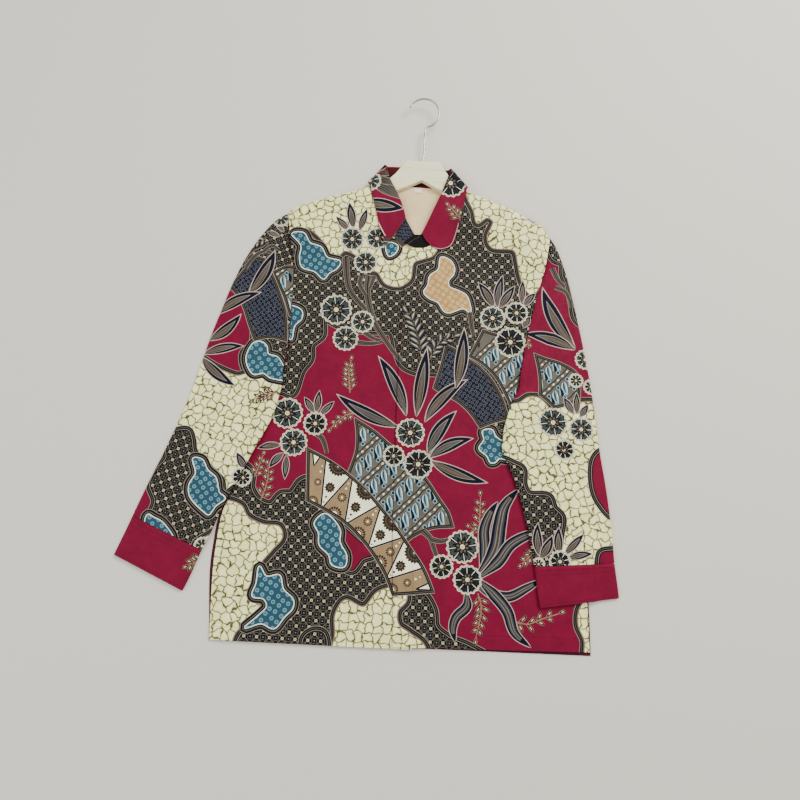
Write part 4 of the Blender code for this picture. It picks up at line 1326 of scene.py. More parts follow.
def pushed_in(points, lines, wall):
    """Points moved in from the folds by the cloth's thickness, less and less along the open ends."""
    moved = points.copy()
    for line, other in (lines, lines[::-1]):
        fine = flowing(line, step=0.5)
        normal = leftwards(fine)
        if (normal @ (other.mean(0) - line.mean(0))).sum() < 0:
            normal = -normal
        nearest = np.linalg.norm(points[:, None] - fine[None], axis=2).argmin(1)
        share = np.clip(1 - distance_to(points, line) / FOLD_RADIUS, 0, 1)
        moved += normal[nearest] * (wall * share)[:, None]
    return moved


def stretch(loop, places, start, end):
    """The vertices of a loop from the one nearest to start to the one nearest to end."""
    first = int(np.argmin(np.linalg.norm(places[loop] - start, axis=1)))
    loop = np.roll(loop, -first)
    return loop[:int(np.argmin(np.linalg.norm(places[loop] - end, axis=1))) + 1]


def tube(name, outer, inner, low_end, top_end, levels, prints, wall=1.2, turn=0.0, grid=6.0):
    """A flattened tube between an outer and an inner fold, open at both ends."""
    outline = np.vstack([outer[:-1], low_end[:-1], inner[::-1][:-1], top_end[:-1]])
    folded, ends = (outer, inner), [low_end[[0, -1]], top_end[[0, -1]]]
    if not turns_left(outline):
        ends = [end[::-1] for end in ends]
    places, faces, inks = cut(outline, prints, "crimson", grid, (0.35, 0.9, 1.9, 3.4, 5.2))
    loop = loop_of(faces)
    in_edge = pushed_in(thinned(places[loop]), folded, wall)
    in_places, in_faces, in_loop = plain_side(in_edge, "reverse", grid * 1.5)
    rows = [stretch(loop, places, *end) for end in ends]
    in_rows = [stretch(in_loop, in_places, *pushed_in(end, folded, wall)) for end in ends]
    bend, in_bend = swell(places, folded), swell(in_places, folded, wall)
    bend[np.setdiff1d(loop, np.concatenate([row[1:-1] for row in rows]))] = 0
    in_bend[np.setdiff1d(in_loop, np.concatenate([row[1:-1] for row in in_rows]))] = 0
    shell = new_shell()
    bottom, middle, top = levels(*places.T)
    above = lifted(places, middle + (top - middle) * bend)
    below = lifted(places, middle + (bottom - middle) * bend)
    up = add_layer(shell, places, faces, inks, above, False, turn)
    down = add_layer(shell, places, faces, inks, below, True, turn)
    bottom, middle, top = levels(*in_places.T)
    above = lifted(in_places, middle + (top - wall - middle) * in_bend)
    below = lifted(in_places, middle + (bottom + wall - middle) * in_bend)
    plain = ink_number("reverse")
    up_in = add_layer(shell, in_places, in_faces, plain, above, True)
    down_in = add_layer(shell, in_places, in_faces, plain, below)
    for row, in_row in zip(rows, in_rows):
        add_strip(shell, row + up, in_row + up_in, "crimson", closed=False)
        add_strip(shell, in_row + down_in, row + down, "crimson", closed=False)
    made = make_object(name, shell)
    joined = bmesh.new()
    joined.from_mesh(made.data)
    bmesh.ops.remove_doubles(joined, verts=joined.verts, dist=0.00001)
    joined.to_mesh(made.data)
    joined.free()
    return made


# %% [markdown]
# ### The print of the sleeves
# Each sleeve has its own patches, with the same motifs as the body. The tables have the columns of
# the body's tables.

# %% The print of the sleeves
SLEEVE_PRINT_LEFT = {
    "patches": [
        ("truntum", "dark", [
            (-180, 420), (-350, 420), (-318, 268), (-300, 252), (-282, 262), (-262, 240), (-262, 160),
            (-262, 128), (-276, 108), (-264, 78), (-240, 74), (-200, 60), (-170, 60)]),
        ("cells", "cream", [
            (-372, 110), (-345, 96), (-322, 84), (-296, 74), (-282, 71), (-262, 77), (-240, 76),
            (-226, 69), (-200, 60), (-180, 0), (-230, -110), (-262, -128), (-280, -128), (-287, -106),
            (-306, -88), (-322, -68), (-337, -60), (-344, -40), (-352, -27), (-380, -26), (-400, 20)]),
        ("truntum", "dark", [
            (-392, -34), (-376, -30), (-352, -26), (-344, -40), (-338, -60), (-306, -88), (-288, -104),
            (-280, -128), (-255, -110), (-230, -140), (-280, -240), (-345, -230), (-372, -198),
            (-390, -166), (-386, -140), (-398, -114), (-392, -92), (-378, -70)]),
        ("cells", "cream", [
            (-312, -212), (-314, -202), (-305, -194), (-296, -188), (-280, -180), (-280, -220)]),
        ("teal", "teal", [
            (-262, 128), (-250, 132), (-240, 125), (-236, 112), (-220, 107), (-204, 84), (-200, 70),
            (-225, 71), (-240, 79), (-256, 76), (-271, 102)]),
        ("teal", "teal", [
            (-336, -69), (-322, -70), (-311, -86), (-297, -97), (-288, -120), (-277, -128),
            (-290, -141), (-300, -155), (-310, -150), (-334, -128), (-337, -110), (-329, -92)]),
        ("teal", "teal", [
            (-396, -162), (-386, -166), (-372, -172), (-352, -197), (-372, -205), (-398, -182)])],
    "fan": [
        [(-262, 132), (-275, 160), (-288, 190), (-302, 212), (-317, 224)],
        [(-317, 224), (-303, 245), (-292, 262), (-276, 285)], [(-276, 285), (-258, 280)],
        [(-258, 280), (-244, 256), (-227, 222), (-214, 190), (-207, 150), (-206, 134)],
        [(-206, 134), (-235, 139), (-262, 132)]],
    "parang": [
        [(-246, 256), (-224, 270), (-196, 270)], [(-196, 270), (-194, 170)], [(-194, 170), (-208, 180)],
        [(-208, 180), (-222, 214), (-246, 256)]],
    "leaves": [
        (-244, 298, -281, 214, 12, -0.06), (-258, 219, -332, 172, 10, 0.08),
        (-288, 179, -338, 128, 10, -0.07), (-276, 123, -344, 104, 8.5, 0.05),
        (-282, 54, -346, 101, 9.5, -0.07), (-269, -54, -248, -82, 7, 0.0),
        (-250, 352, -232, 330, 5, 0.0), (-262, 330, -238, 322, 5, 0.0)],
    "sprigs": [
        ([(-262, 316), (-280, 306), (-296, 294)], 4, 9, "navy"),
        ([(-214, 46), (-232, 42), (-248, 34)], 4, 15, None)],
    "flowers": [(-240, 356, 16, 0.2, GREY), (-256, -93, 15, 0.1, BLACK), (-304, -204, 14, 0.3, GREY)],
    "branches": [
        ([(-291, 261), (-284, 274), (-274, 287), (-262, 293), (-252, 292), (-245, 285)], 1.7),
        ([(-263, 293), (-256, 301), (-247, 304), (-238, 298)], 1.4),
        ([(-296, 272), (-290, 285), (-280, 296), (-268, 303), (-258, 312)], 1.4)]}
SLEEVE_PRINT_RIGHT = {
    "patches": [
        ("truntum", "dark", [
            (205, 400), (225, 330), (236, 312), (250, 306), (252, 286), (262, 262), (268, 236),
            (276, 205), (300, 200), (320, 400)]),
        ("cells", "cream", [
            (150, 46), (182, 56), (196, 66), (212, 68), (226, 58), (234, 48), (262, 60), (300, 66),
            (330, 60), (330, -20), (312, -24), (303, -40), (306, -70), (316, -96), (334, -116),
            (360, -130), (350, -170), (328, -164), (316, -166), (312, -190), (310, -230), (200, -230),
            (215, -160), (250, -148), (252, -122), (240, -110), (232, -94), (200, -90), (190, -76),
            (188, -50), (178, -47), (150, -60)]),
        ("truntum", "dark", [
            (150, -40), (178, -46), (189, -52), (191, -76), (200, -91), (232, -93), (240, -110),
            (252, -122), (250, -148), (240, -190), (200, -220), (160, -160)]),
        ("crimson", "dark", [
            (316, -16), (306, -30), (304, -56), (308, -80), (318, -98), (336, -114), (360, -100),
            (350, -10)]),
        ("crimson", "dark", [(318, -196), (318, -174), (330, -170), (352, -170), (352, -200)])],
    "parang": [
        [(204, 144), (222, 138), (252, 130), (276, 116), (284, 100)], [(284, 100), (282, 66)],
        [(282, 66), (262, 58), (240, 50)], [(240, 50), (228, 62), (214, 72)],
        [(214, 72), (214, 92), (210, 120), (204, 144)]],
    "leaves": [
        (216, 262, 274, 156, 13, 0.07), (186, 176, 274, 153, 11, -0.06), (255, 72, 272, 44, 6.5, 0.0),
        (276, 82, 277, 44, 6, 0.0), (295, 62, 282, 40, 6, 0.0), (217, -132, 222, -186, 8, 0.06),
        (240, -150, 220, -188, 8, -0.05), (250, -137, 252, -182, 7.5, 0.05),
        (289, -145, 258, -180, 6.5, 0.0), (304, -175, 262, -186, 6.5, 0.05)],
    "sprigs": [([(196, 150), (194, 162), (190, 172)], 2, 8, None)],
    "flowers": [
        (290, 138, 17, 0.2, GREY), (275, 101, 12, 0.1, BLACK), (300, 92, 13, 0.4, BLACK),
        (238, 28, 24, 0.2, GREY), (284, 20, 20, 0.0, GREY), (257, -15, 17, 0.2, BLACK),
        (252, -190, 17, 0.3, BLACK), (219, -196, 10, 0.1, BLACK)],
    "branches": [
        ([(232, 296), (242, 276), (256, 262)], 2.6), ([(258, 272), (262, 250), (266, 226)], 2.6),
        ([(238, 262), (256, 254), (262, 240)], 2.0)]}


def sleeve_shapes(table):
    found = []
    for ink, bands, points in table["patches"]:
        found += patch(ink, bands, points)
    found += parang(outline_of(*table["parang"]), (3, 2))
    if "fan" in table:
        found += framed("navy rings", outline_of(*table["fan"]))
    return found + growth(table["branches"], table["sprigs"], (), table["leaves"], table["flowers"])


# %% Make the sleeves
# Columns: x, y of the outer fold and x, y of the inner one, from the armhole to the cuff.
SLEEVE_LEFT = [
    (-228.4, 367.3, -208.4, 83.7), (-247, 354, -207, 72), (-264, 334, -207, 60), (-288, 292, -210, 40),
    (-307, 243, -214, 18), (-325, 177, -221, -5), (-335, 138, -226, -16), (-343, 99, -231, -28),
    (-357, 34, -242, -52), (-367, -2, -250, -72), (-378, -37, -259, -95), (-389, -70, -270, -118),
    (-400, -101, -279, -140), (-411, -134, -292, -180), (-421, -165, -305, -210)]
SLEEVE_RIGHT = [
    (227.4, 352.2, 181.4, 83.7), (238, 336, 177, 72), (246, 318, 171, 59), (260, 277, 162, 27),
    (274, 220, 157, 0), (288, 156, 157, -22), (293, 130, 160, -31), (298, 106, 164, -40),
    (307, 49, 175, -62), (312, 13, 181, -78), (317, -23, 187, -95), (323, -56, 193, -114),
    (328, -87, 198, -133), (335, -142, 207, -170), (339, -187, 213, -200)]
SLEEVE_THICK, CUFF_THICK = 6.0, 5.2
SLEEVE_CREASING = 2.2    # the sleeves' small creases are this much deeper than their table says
CUFF_LEFT = [
    (-421.3, -165.5, -305.3, -210.5), (-427, -184, -312, -230), (-434, -205, -319, -252),
    (-441, -226, -327, -273)]
CUFF_RIGHT = [
    (339, -187.5, 213, -200.5), (341.5, -205, 216, -220), (344, -222, 219, -241),
    (346, -239, 223, -261)]


def fold_lines(table):
    """The outer and the inner fold of a sleeve or a cuff."""
    return flowing([row[:2] for row in table]), flowing([row[2:] for row in table])


def end_line(row):
    """The straight line across a tube at a row of its table."""
    return straight([row[:2], row[2:]])


def sleeve_levels(armhole, low_end):
    """Bottom, middle and top of a sleeve: fuller at its head, and drawn in at both of its seams."""
    seam_line = flowing(armhole)

    def levels(x, y):
        points = np.column_stack([x, y])
        bottom = sleeve_under(x, y)
        head = 4.2 * np.exp(-(np.hypot(x - armhole[0][0], y - armhole[0][1]) / 38) ** 2)
        drawn = (1 - 0.14 * np.exp(-(distance_to(points, seam_line) / 3.5) ** 2)
                 - 0.16 * np.exp(-(distance_to(points, low_end) / 4.0) ** 2))
        full = ((SLEEVE_THICK + head) * drawn + folds(SLEEVE_FOLDS, x, y)
                + folds(SLEEVE_CREASES, x, y) * SLEEVE_CREASING)
        return bottom, bottom + SLEEVE_THICK * 0.42, bottom + full
    return levels


def make_sleeve(name, table, armhole, side, print_table, turn):
    outer, inner = fold_lines(table)
    low_end = end_line(table[-1])
    top_end = flowing([(x + side * 0.5, y) for x, y in armhole])[::-1]
    top_end[0], top_end[-1] = inner[0], outer[0]
    return tube(name, outer, inner, low_end, top_end, sleeve_levels(armhole, low_end),
                sleeve_shapes(print_table), turn=turn)


sleeve_left = make_sleeve("sleeve_left_cloth", SLEEVE_LEFT, ARMHOLE_LEFT, -1, SLEEVE_PRINT_LEFT, -20)
sleeve_right = make_sleeve("sleeve_right_cloth", SLEEVE_RIGHT, ARMHOLE_RIGHT, 1, SLEEVE_PRINT_RIGHT, 10)
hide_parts("sleeve_left")
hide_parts("sleeve_right")

# %% Make the cuffs
def cuff_levels(table):
    """A stiffer band: two flat layers with a little roll at the seam and the open end."""
    seam_line, open_end = end_line(table[0]), end_line(table[-1])

    def levels(x, y):
        points = np.column_stack([x, y])
        bottom = sleeve_under(x, y)
        from_seam = distance_to(points, seam_line)
        puff = 0.35 * np.exp(-((from_seam - 4.5) / 2.2) ** 2) - 0.7 * np.exp(-(from_seam / 1.6) ** 2)
        drawn = 1 - 0.06 * np.exp(-(distance_to(points, open_end) / 3.0) ** 2)
        return bottom, bottom + CUFF_THICK / 2, bottom + CUFF_THICK * drawn + puff
    return levels


def make_cuff(name, table, prints):
    outer, inner = fold_lines(table)
    top_end = straight([table[0][2:], table[0][:2]])
    return tube(name, outer, inner, end_line(table[-1]), top_end, cuff_levels(table), prints, wall=1.5,
                grid=4.5)


cuff_left_print = sprig([(-298, -224), (-309, -228), (-320, -233)], 3, 17)
cuff_left = make_cuff("cuff_left_cloth", CUFF_LEFT, cuff_left_print)
cuff_right = make_cuff("cuff_right_cloth", CUFF_RIGHT, [])
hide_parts("cuff_left")
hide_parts("cuff_right")

# %% [markdown]
# ## The collar and its stand
# A shirt collar is a straight strip of cloth that is folded and bent round the neck, so it is cut flat
# here too and then bent. Each row of the tables is a section across the strip, in the order in which
# it runs round the neck: along the left front, under the back and up to the right front. A smooth
# curve through the rows gives every place of the flat strip its place on the shirt.

# %% Bend a strip round the neck
# Columns: x, y of the fold, x, y of the outer edge, height (1 on the fronts, 0 under the back), and
# how far the edge of the section bows.
COLLAR_FALL = [
    (-24, 371, -56, 317.5, 1, -2), (-33, 395, -66, 343, 1, 0), (-44, 417, -76, 378, 1, 0),
    (-56, 439, -86, 410, 1, 0), (-61, 453, -91, 427, 1, 0), (-67, 470, -94, 434, 0.46, 0),
    (-61, 471, -89, 431, 0, 0), (-50, 471.5, -72, 422, 0, 0), (-25, 472, -32, 418, 0, 0),
    (-8, 472, -8, 417, 0, 0), (12, 472, 18, 418, 0, 0), (34, 471.5, 56, 422, 0, 0),
    (44, 471, 74, 431, 0, 0), (50, 470.5, 80.5, 435, 0.46, 0), (49, 456, 79, 429.5, 1, 0),
    (42, 437, 76.5, 412, 1, 0), (36, 417, 72, 386, 1, 0), (23, 384, 65, 346, 1, 0),
    (14, 362, 59, 326, 1, 3), (6, 344, 38, 315.5, 1, 5)]
COLLAR_STAND = [
    (-4, 339, -26, 319, 1, 0), (-13, 352, -38, 331, 1, 0), (-24, 370, -50, 347, 1, 0),
    (-33, 393, -60, 372, 1, 0), (-44, 415, -69, 397, 1, 0), (-56, 437, -76, 418, 1, 0),
    (-60, 450, -82, 428.5, 1, 0), (-62.5, 464, -85, 434, 0.46, 0), (-57, 468.5, -80, 430.6, 0, 0),
    (-45, 469.5, -62, 430.4, 0, 0), (-25, 470, -28, 430.1, 0, 0), (-8, 470, -8, 429.9, 0, 0),
    (12, 470, 18, 429.7, 0, 0), (30, 469.5, 48, 429.5, 0, 0), (38, 468.5, 71, 430.5, 0, 0),
    (46.3, 466, 76, 434.5, 0.46, 0), (46.5, 455, 75.5, 430.5, 1, 0), (41, 435, 71.5, 417, 1, 0),
    (35, 415, 63, 396, 1, 0), (22, 382, 52, 371, 1, 0), (13, 360, 39, 345, 1, 0),
    (5, 343, 16, 321, 1, 0), (-2, 342, -6, 319, 1, 0), (-9, 341, -24, 326, 1, 0)]
STRIP_WIDTH = 50.0       # the flat strips are drawn this wide, near the width of the collar


def neck_strip(rows, low, high):
    """The grid of points on which a strip lies, and how far along the strip each section is."""
    rows = flowing([row[:4] + (row[4] * 16,) + row[5:] for row in rows], step=2.5)
    fold, edge, height, bow = rows[:, 0:2], rows[:, 2:4], np.clip(rows[:, 4:5] / 16, 0, 1), rows[:, 5]
    across = edge - fold
    side = np.column_stack([across[:, 1], -across[:, 0]]) / np.linalg.norm(across, axis=1)[:, None]
    u = np.linspace(0, 1, 15)[None, :, None]
    plan = fold[:, None] + across[:, None] * u + (side * bow[:, None])[:, None] * 4 * u * (1 - u)
    x, y = plan[..., 0], plan[..., 1]
    right = (np.arange(len(rows)) > len(rows) / 2)[:, None] & (height > 0.8)
    on_fronts = front_rest(x, y, at_edge=False) + high + fly_lift(x) * right
    grid = np.dstack([plan, low + (on_fronts - low) * height])
    normal = np.cross(np.gradient(grid, axis=0), np.gradient(grid, axis=1))
    normal /= np.linalg.norm(normal, axis=2)[..., None]
    if normal[2, 7, 2] < 0:
        normal = -normal
    return {"grid": grid, "normal": normal, "run": run_along(grid[:, 7])}


def bent_round(strip):
    """Where the places of a flat strip come to lie."""
    grid, normal, run = strip["grid"], strip["normal"], strip["run"]

    def surface(places, share):
        i = np.interp(places[:, 0], run, np.arange(len(run)))
        j = places[:, 1] / STRIP_WIDTH * (grid.shape[1] - 1)
        i0 = np.clip(i.astype(int), 0, len(run) - 2)
        j0 = np.clip(np.floor(j).astype(int), 0, grid.shape[1] - 2)
        a, b = (i - i0)[:, None], (j - j0)[:, None]

        def blend(table):
            near = table[i0, j0] * (1 - b) + table[i0, j0 + 1] * b
            far = table[i0 + 1, j0] * (1 - b) + table[i0 + 1, j0 + 1] * b
            return near * (1 - a) + far * a
        return blend(grid) + blend(normal) * CLOTH * (share - 0.5)
    return surface


def flat_places(strip, points, start, end):
    """The places on the flat strip of points that were read on the shirt, within a stretch of it."""
    chosen = (strip["run"] >= start) & (strip["run"] <= end)
    plan, run = strip["grid"][chosen][..., :2], strip["run"][chosen]
    along = np.gradient(plan, axis=0) / np.gradient(run)[:, None, None]
    across = np.gradient(plan, axis=1) * (plan.shape[1] - 1) / STRIP_WIDTH
    found = []
    for point in np.asarray(points, float):
        i, j = np.unravel_index(np.linalg.norm(plan - point, axis=2).argmin(), plan.shape[:2])
        frame_here = np.column_stack([along[i, j], across[i, j]])
        step = np.linalg.solve(frame_here, point - plan[i, j])
        found.append(np.array([run[i], j / (plan.shape[1] - 1) * STRIP_WIDTH]) + np.clip(step, -9, 9))
    return np.array(found)


def on_strip(strip, shapes, start, end):
    """Shapes read on the shirt, moved to the flat strip."""
    return [{**s, "ring": flat_places(strip, s["ring"], start, end)} for s in shapes]


def strip_outline(strip):
    length = strip["run"][-1]
    corners = [(0, 0), (0, STRIP_WIDTH), (length, STRIP_WIDTH), (length, 0), (0, 0)]
    return straight(corners, 2.0)[:-1][::-1]


# %% Print and bend the collar
fall = neck_strip(COLLAR_FALL, CLOTH / 2, CLOTH + SEAM + CLOTH / 2 + 0.7)
print(f"the collar is {fall['run'][-1]:.0f} mm long round its middle")


def line_shape(ink, points, half_width):
    return shape(ink, ribbon(flowing(points), half_width))


def grey_leaf(tip, base, half_width, bend):
    """A grey leaf with dark veins that run from its base to its tip."""
    line = bent_line(base, tip, bend, 25)
    veins = [line + leftwards(line) * half_width * off for off in (-0.5, -0.2, 0.15, 0.48)]
    return [shape("edge grey", lens(line, half_width, belly=0.46)),
            shape("leaf core", lens(line, half_width - 1.0, 0.03, 0.97, 0.46)),
            *[shape("dark line", lens(vein, 0.7, 0.04, 0.80, 0.4)) for vein in veins]]


left_tip = [
    line_shape("rose line", [(-70, 350), (-63, 334), (-56, 328), (-40, 326)], 0.6),
    shape("dark line", [(-84, 372), (-73, 358), (-64, 344), (-57, 335), (-66, 333), (-90, 340)]),
    line_shape("cream line", [(-76, 366), (-66, 349), (-57, 335)], 0.8),
    shape("grey brown", [(-75, 324.5), (-30, 324.5), (-30, 310), (-75, 310)]),
    line_shape("rose line", [(-72, 325), (-50, 325), (-36, 326)], 0.5),
    *leaf((-26, 384.5), (-108, 389), 12.5, 0.0),
    shape("dark line", [(-112, 444), (-74, 443), (-44, 430), (-44, 490), (-112, 490)]),
    *grey_leaf((-30, 399), (-94, 432), 12.5, 0.06),
    *grey_leaf((-38, 425), (-96, 437), 8.0, 0.05),
    *grey_leaf((-42, 447), (-100, 444), 7.0, 0.05),
    line_shape("crimson", [(-82, 446), (-64, 453), (-48, 464)], 1.5),
    line_shape("rose line", [(-80, 450), (-66, 458), (-54, 468)], 0.6),
    *flower(-90, 432, 19, 0.3, GREY),
]
right_tip = [
    shape("dark line", [(40, 452), (90, 440), (90, 480), (40, 480)]),
    *sprig([(74, 370), (67, 376), (59, 384), (52, 391)], 3, 16),
    *flower(50, 436, 26, 0.25, BLACK),
    line_shape("rose line", [(2, 340), (14, 328), (24, 321), (38, 317.5), (50, 321), (58, 328),
                             (64, 346), (68, 364)], 0.55),
]
turn_left = fall["run"][np.abs(fall["grid"][:, 0, 0] + 67).argmin()]
length = fall["run"][-1]
collar_print = (on_strip(fall, left_tip, 0, turn_left) + on_strip(fall, right_tip, length / 2 + 50, length))
collar = panel("collar_cloth", strip_outline(fall), collar_print, "crimson", bent_round(fall), "crimson",
               grid=4.0)
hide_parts("collar")

# %% Print and bend the stand
standing = neck_strip(COLLAR_STAND, CLOTH + SEAM + CLOTH / 2, CLOTH / 2)
left_end = [
    shape("navy rings", [(-60, 400), (-20, 372), (0, 340), (-10, 318), (-60, 330)]),
    shape("grey brown", [(-20, 378), (-37, 342), (-42, 334), (-60, 345), (-40, 380)]),
    shape("grey brown", [(-42, 338), (-30, 332), (-12, 324), (-8, 318), (-40, 318), (-50, 330)]),
    line_shape("rose line", [(-20, 380), (-30, 362), (-42, 338)], 0.7),
    line_shape("dark line", [(-18, 376), (-27, 360), (-36, 342), (-24, 333), (-10, 325)], 0.5),
]
right_end = [line_shape("grey brown", [(-16, 324), (-8, 332), (2, 338)], 0.5)]
length = standing["run"][-1]
SHADED_END_LENGTH = 205.0      # how far in from both ends the stand is drawn near-black, as painted shade
# Painted shade: the stand's ends are drawn near-black for the shadowed gap between them at the neck opening,
# and their print lies over it.
painted_shade_end = np.array([(0, -1), (SHADED_END_LENGTH, -1), (SHADED_END_LENGTH, STRIP_WIDTH + 1), (0, STRIP_WIDTH + 1)])
stand_print = [shape("dark line", painted_shade_end), shape("dark line", (length, 0) - painted_shade_end * (1, -1))]
stand_print += (on_strip(standing, left_end, 0, 60) + on_strip(standing, right_end, length - 70, length))
stand = panel("collar_stand_cloth", strip_outline(standing), stand_print, "stand crimson",
              bent_round(standing), "stand crimson", grid=4.0)
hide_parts("collar_stand")

# %% [markdown]
# ## The stitches
# The hem, the hidden fly, the collar's edge and the cuffs are stitched down with dark red thread,
# about eight stitches to the inch. A stitch is a short bar that dips into the cloth at both ends, so
# it stands a quarter of a millimetre above it in the middle and catches the light like real thread.

# %% Sew
STITCH, GAP, THREAD_HALF = 2.3, 0.9, 0.30
# Sections of a stitch.  Columns: share of its length, height above the cloth and share of its width.
STITCH_SECTIONS = ((0.0, -0.25, 0.6), (0.25, 0.14, 1.0), (0.75, 0.14, 1.0), (1.0, -0.25, 0.6))


def sewn(shell, line, lay):
    """A row of stitches along a line; lay puts places at a height above the cloth."""
    line = straight(line, 1.0) if len(line) < 5 else line
    run = run_along(line)
    starts = np.arange(GAP, run[-1] - STITCH, STITCH + GAP)
    sections = []
    for share, height, width in STITCH_SECTIONS:
        at = starts + share * STITCH
        middle = np.column_stack([np.interp(at, run, line[:, k]) for k in (0, 1)])
        ahead = np.column_stack([np.interp(at + 0.5, run, line[:, k]) for k in (0, 1)]) - middle
        behind = middle - np.column_stack([np.interp(at - 0.5, run, line[:, k]) for k in (0, 1)])
        across = (ahead + behind)[:, ::-1] * (-1, 1)
        across *= THREAD_HALF * width / np.maximum(np.linalg.norm(across, axis=1), 1e-9)[:, None]
        sections += [(middle - across, height - 0.1), (middle, height + 0.12),
                     (middle + across, height - 0.1)]
    places = np.stack([place for place, _ in sections], axis=1)
    points = np.stack([lay(place, height) for place, height in sections], axis=1)
    faces = [(0, 1, 2), (9, 11, 10)]
    for k in (0, 3, 6):
        for a, b in ((0, 1), (1, 2), (2, 0)):
            faces += [(k + a, k + b + 3, k + b), (k + a, k + a + 3, k + b + 3)]
    first = np.arange(len(starts))[:, None, None] * 12
    faces = (first + np.array(faces)[None]).reshape(-1, 3)
    add_layer(shell, places.reshape(-1, 2), faces, ink_number("thread"), points.reshape(-1, 3))


def on_front(under):
    return lambda places, height: lifted(places, under(*places.T) + CLOTH + height)


def on_cuff(table):
    levels = cuff_levels(table)
    return lambda places, height: lifted(places, levels(*places.T)[2] + height)


def cuff_row(table, share):
    """A line across a cuff, at a share of the way from its seam to its open end."""
    first, last = np.array(table[0], float), np.array(table[-1], float)
    outer, inner = np.split(first + (last - first) * share, 2)
    inset = (inner - outer) / math.dist(inner, outer) * 6.0
    return [outer + inset, inner - inset]


thread = new_shell()
sewn(thread, [(-274, -321), (-4, -316)], on_front(left_front_under))
sewn(thread, [(5, -313), (298, -301)], on_front(right_front_under))
sewn(thread, flowing([(x + 31, y) for x, y in FLY_RIGHT if -320 < y < 305], step=1.5),
     on_front(right_front_under))
for table in (CUFF_LEFT, CUFF_RIGHT):
    for share in (0.10, 0.22, 0.93):
        sewn(thread, cuff_row(table, share), on_cuff(table))
on_collar = bent_round(fall)
collar_length = fall["run"][-1]
for side, turn in ((5, turn_left), (collar_length - 5, collar_length / 2 + 60)):
    sewn(thread, [(side, 4), (side, STRIP_WIDTH - 5), (turn, STRIP_WIDTH - 5)],
         lambda places, height: on_collar(places, 1 + height / CLOTH))
make_object("stitches", thread)

# %% [markdown]
# ## The hanger and its hook
# The hanger is a flat piece of pale wood, sanded and left bare, with fine straight grain along it. Its
# solid has the right shape already and keeps it. The hook is steel wire of 3 mm, bent cold round a
# former and plated with nickel, and its end is cut square and eased.

# %% Pale wood for the hanger
def pale_wood():
    """Bare beech or poplar: fine grain in the wood's own length, slightly glossy in places along the grain.
    """
    made, tree, shader = new_material("pale sanded wood")
    place = add(tree, "TexCoord", {}, output=3)
    stretched = add(tree, "Mapping", {"Vector": place, "Scale": (9.0, 260.0, 200.0)})
    grain = add(tree, "TexNoise", {"Vector": stretched, "Scale": 1.0, "Detail": 5.0,
                                   "Roughness": 0.6})
    wide = add(tree, "Mapping", {"Vector": place, "Scale": (4.0, 60.0, 60.0)})
    bands = add(tree, "TexNoise", {"Vector": wide, "Scale": 1.0, "Detail": 2.0})
    broad = add(tree, "MapRange", {"Value": bands, "From Min": 0.35, "From Max": 0.65})
    fine = add(tree, "MapRange", {"Value": grain, "From Min": 0.52, "From Max": 0.72})
    colour = painted(tree, "#E9E2B2", [(broad, "#EFEBC8"), (fine, "#D6C98A")])
    gloss = add(tree, "MapRange", {"Value": grain, "From Min": 0.3, "From Max": 0.7,
                                   "To Min": 0.46, "To Max": 0.60})
    bump = add(tree, "Bump", {"Height": grain, "Strength": 0.25, "Distance": 0.0003})
    feed(tree, shader, {"Base Color": colour, "Roughness": gloss, "Normal": bump})
    return made


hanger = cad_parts["hanger"]
for place in hanger.material_slots:
    place.material = pale_wood()

# %% The hook
HOOK_RADIUS, HOOK_FOOT = 1.6, 478.5
HOOK_CENTRE, LOOP_RADIUS = np.array([-4.0, 571.0]), 27.0
HANGER_MIDDLE = 9.8      # the level of the middle of its wood
WIRE_SIDES = 20


def wire(name, path, radius, finish):
    """A round wire along a path in space, with eased ends."""
    along = np.gradient(path, axis=0)
    along /= np.linalg.norm(along, axis=1)[:, None]
    side = np.cross(along, (0.0, 0.0, 1.0))
    side /= np.linalg.norm(side, axis=1)[:, None]
    lift = np.cross(side, along)
    t = np.arange(WIRE_SIDES) * 2 * math.pi / WIRE_SIDES
    end = len(path) - 1
    sections = ([(0, 0.0, 0.62), (0, 0.25, 0.88)] + [(i, 0.0, 1.0) for i in range(1, end)]
                + [(end, -0.25, 0.88), (end, 0.0, 0.62)])
    points = [path[i] + along[i] * shift
              + radius * size * (np.cos(t)[:, None] * side[i] + np.sin(t)[:, None] * lift[i])
              for i, shift, size in sections]
    points = np.vstack(points + [path[:1], path[-1:]])
    rows = len(sections)
    around = [(k, (k + 1) % WIRE_SIDES) for k in range(WIRE_SIDES)]
    faces = [(i + k, i + m, i + WIRE_SIDES + m, i + WIRE_SIDES + k)
             for i in range(0, (rows - 1) * WIRE_SIDES, WIRE_SIDES) for k, m in around]
    first, last = rows * WIRE_SIDES, rows * WIRE_SIDES + 1
    faces += [(first, m, k) for k, m in around]
    faces += [(last, first - WIRE_SIDES + k, first - WIRE_SIDES + m) for k, m in around]
    mesh = bpy.data.meshes.new(name)
    mesh.from_pydata((points * MM).tolist(), [], faces)
    mesh.materials.append(finish)
    mesh.polygons.foreach_set("use_smooth", np.full(len(mesh.polygons), True))
    made = put(name, mesh)
    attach(made, "root")
    return made


def plated_wire():
    """Nickel-plated steel: a bright metal, with faint rubbed places along it."""
    made, tree, shader = new_material("nickel-plated steel wire")
    place = add(tree, "TexCoord", {}, output=3)
    rubbed = add(tree, "TexNoise", {"Vector": place, "Scale": 180.0, "Detail": 3.0})
    gloss = add(tree, "MapRange", {"Value": rubbed, "From Min": 0.35, "From Max": 0.65,
                                   "To Min": 0.20, "To Max": 0.34})
    worn = add(tree, "MapRange", {"Value": rubbed, "From Min": 0.4, "From Max": 0.7})
    colour = painted(tree, "#B9B5AC", [(worn, "#A39E94")])
    feed(tree, shader, {"Base Color": colour, "Roughness": gloss, "Metallic": 1.0})
    return made


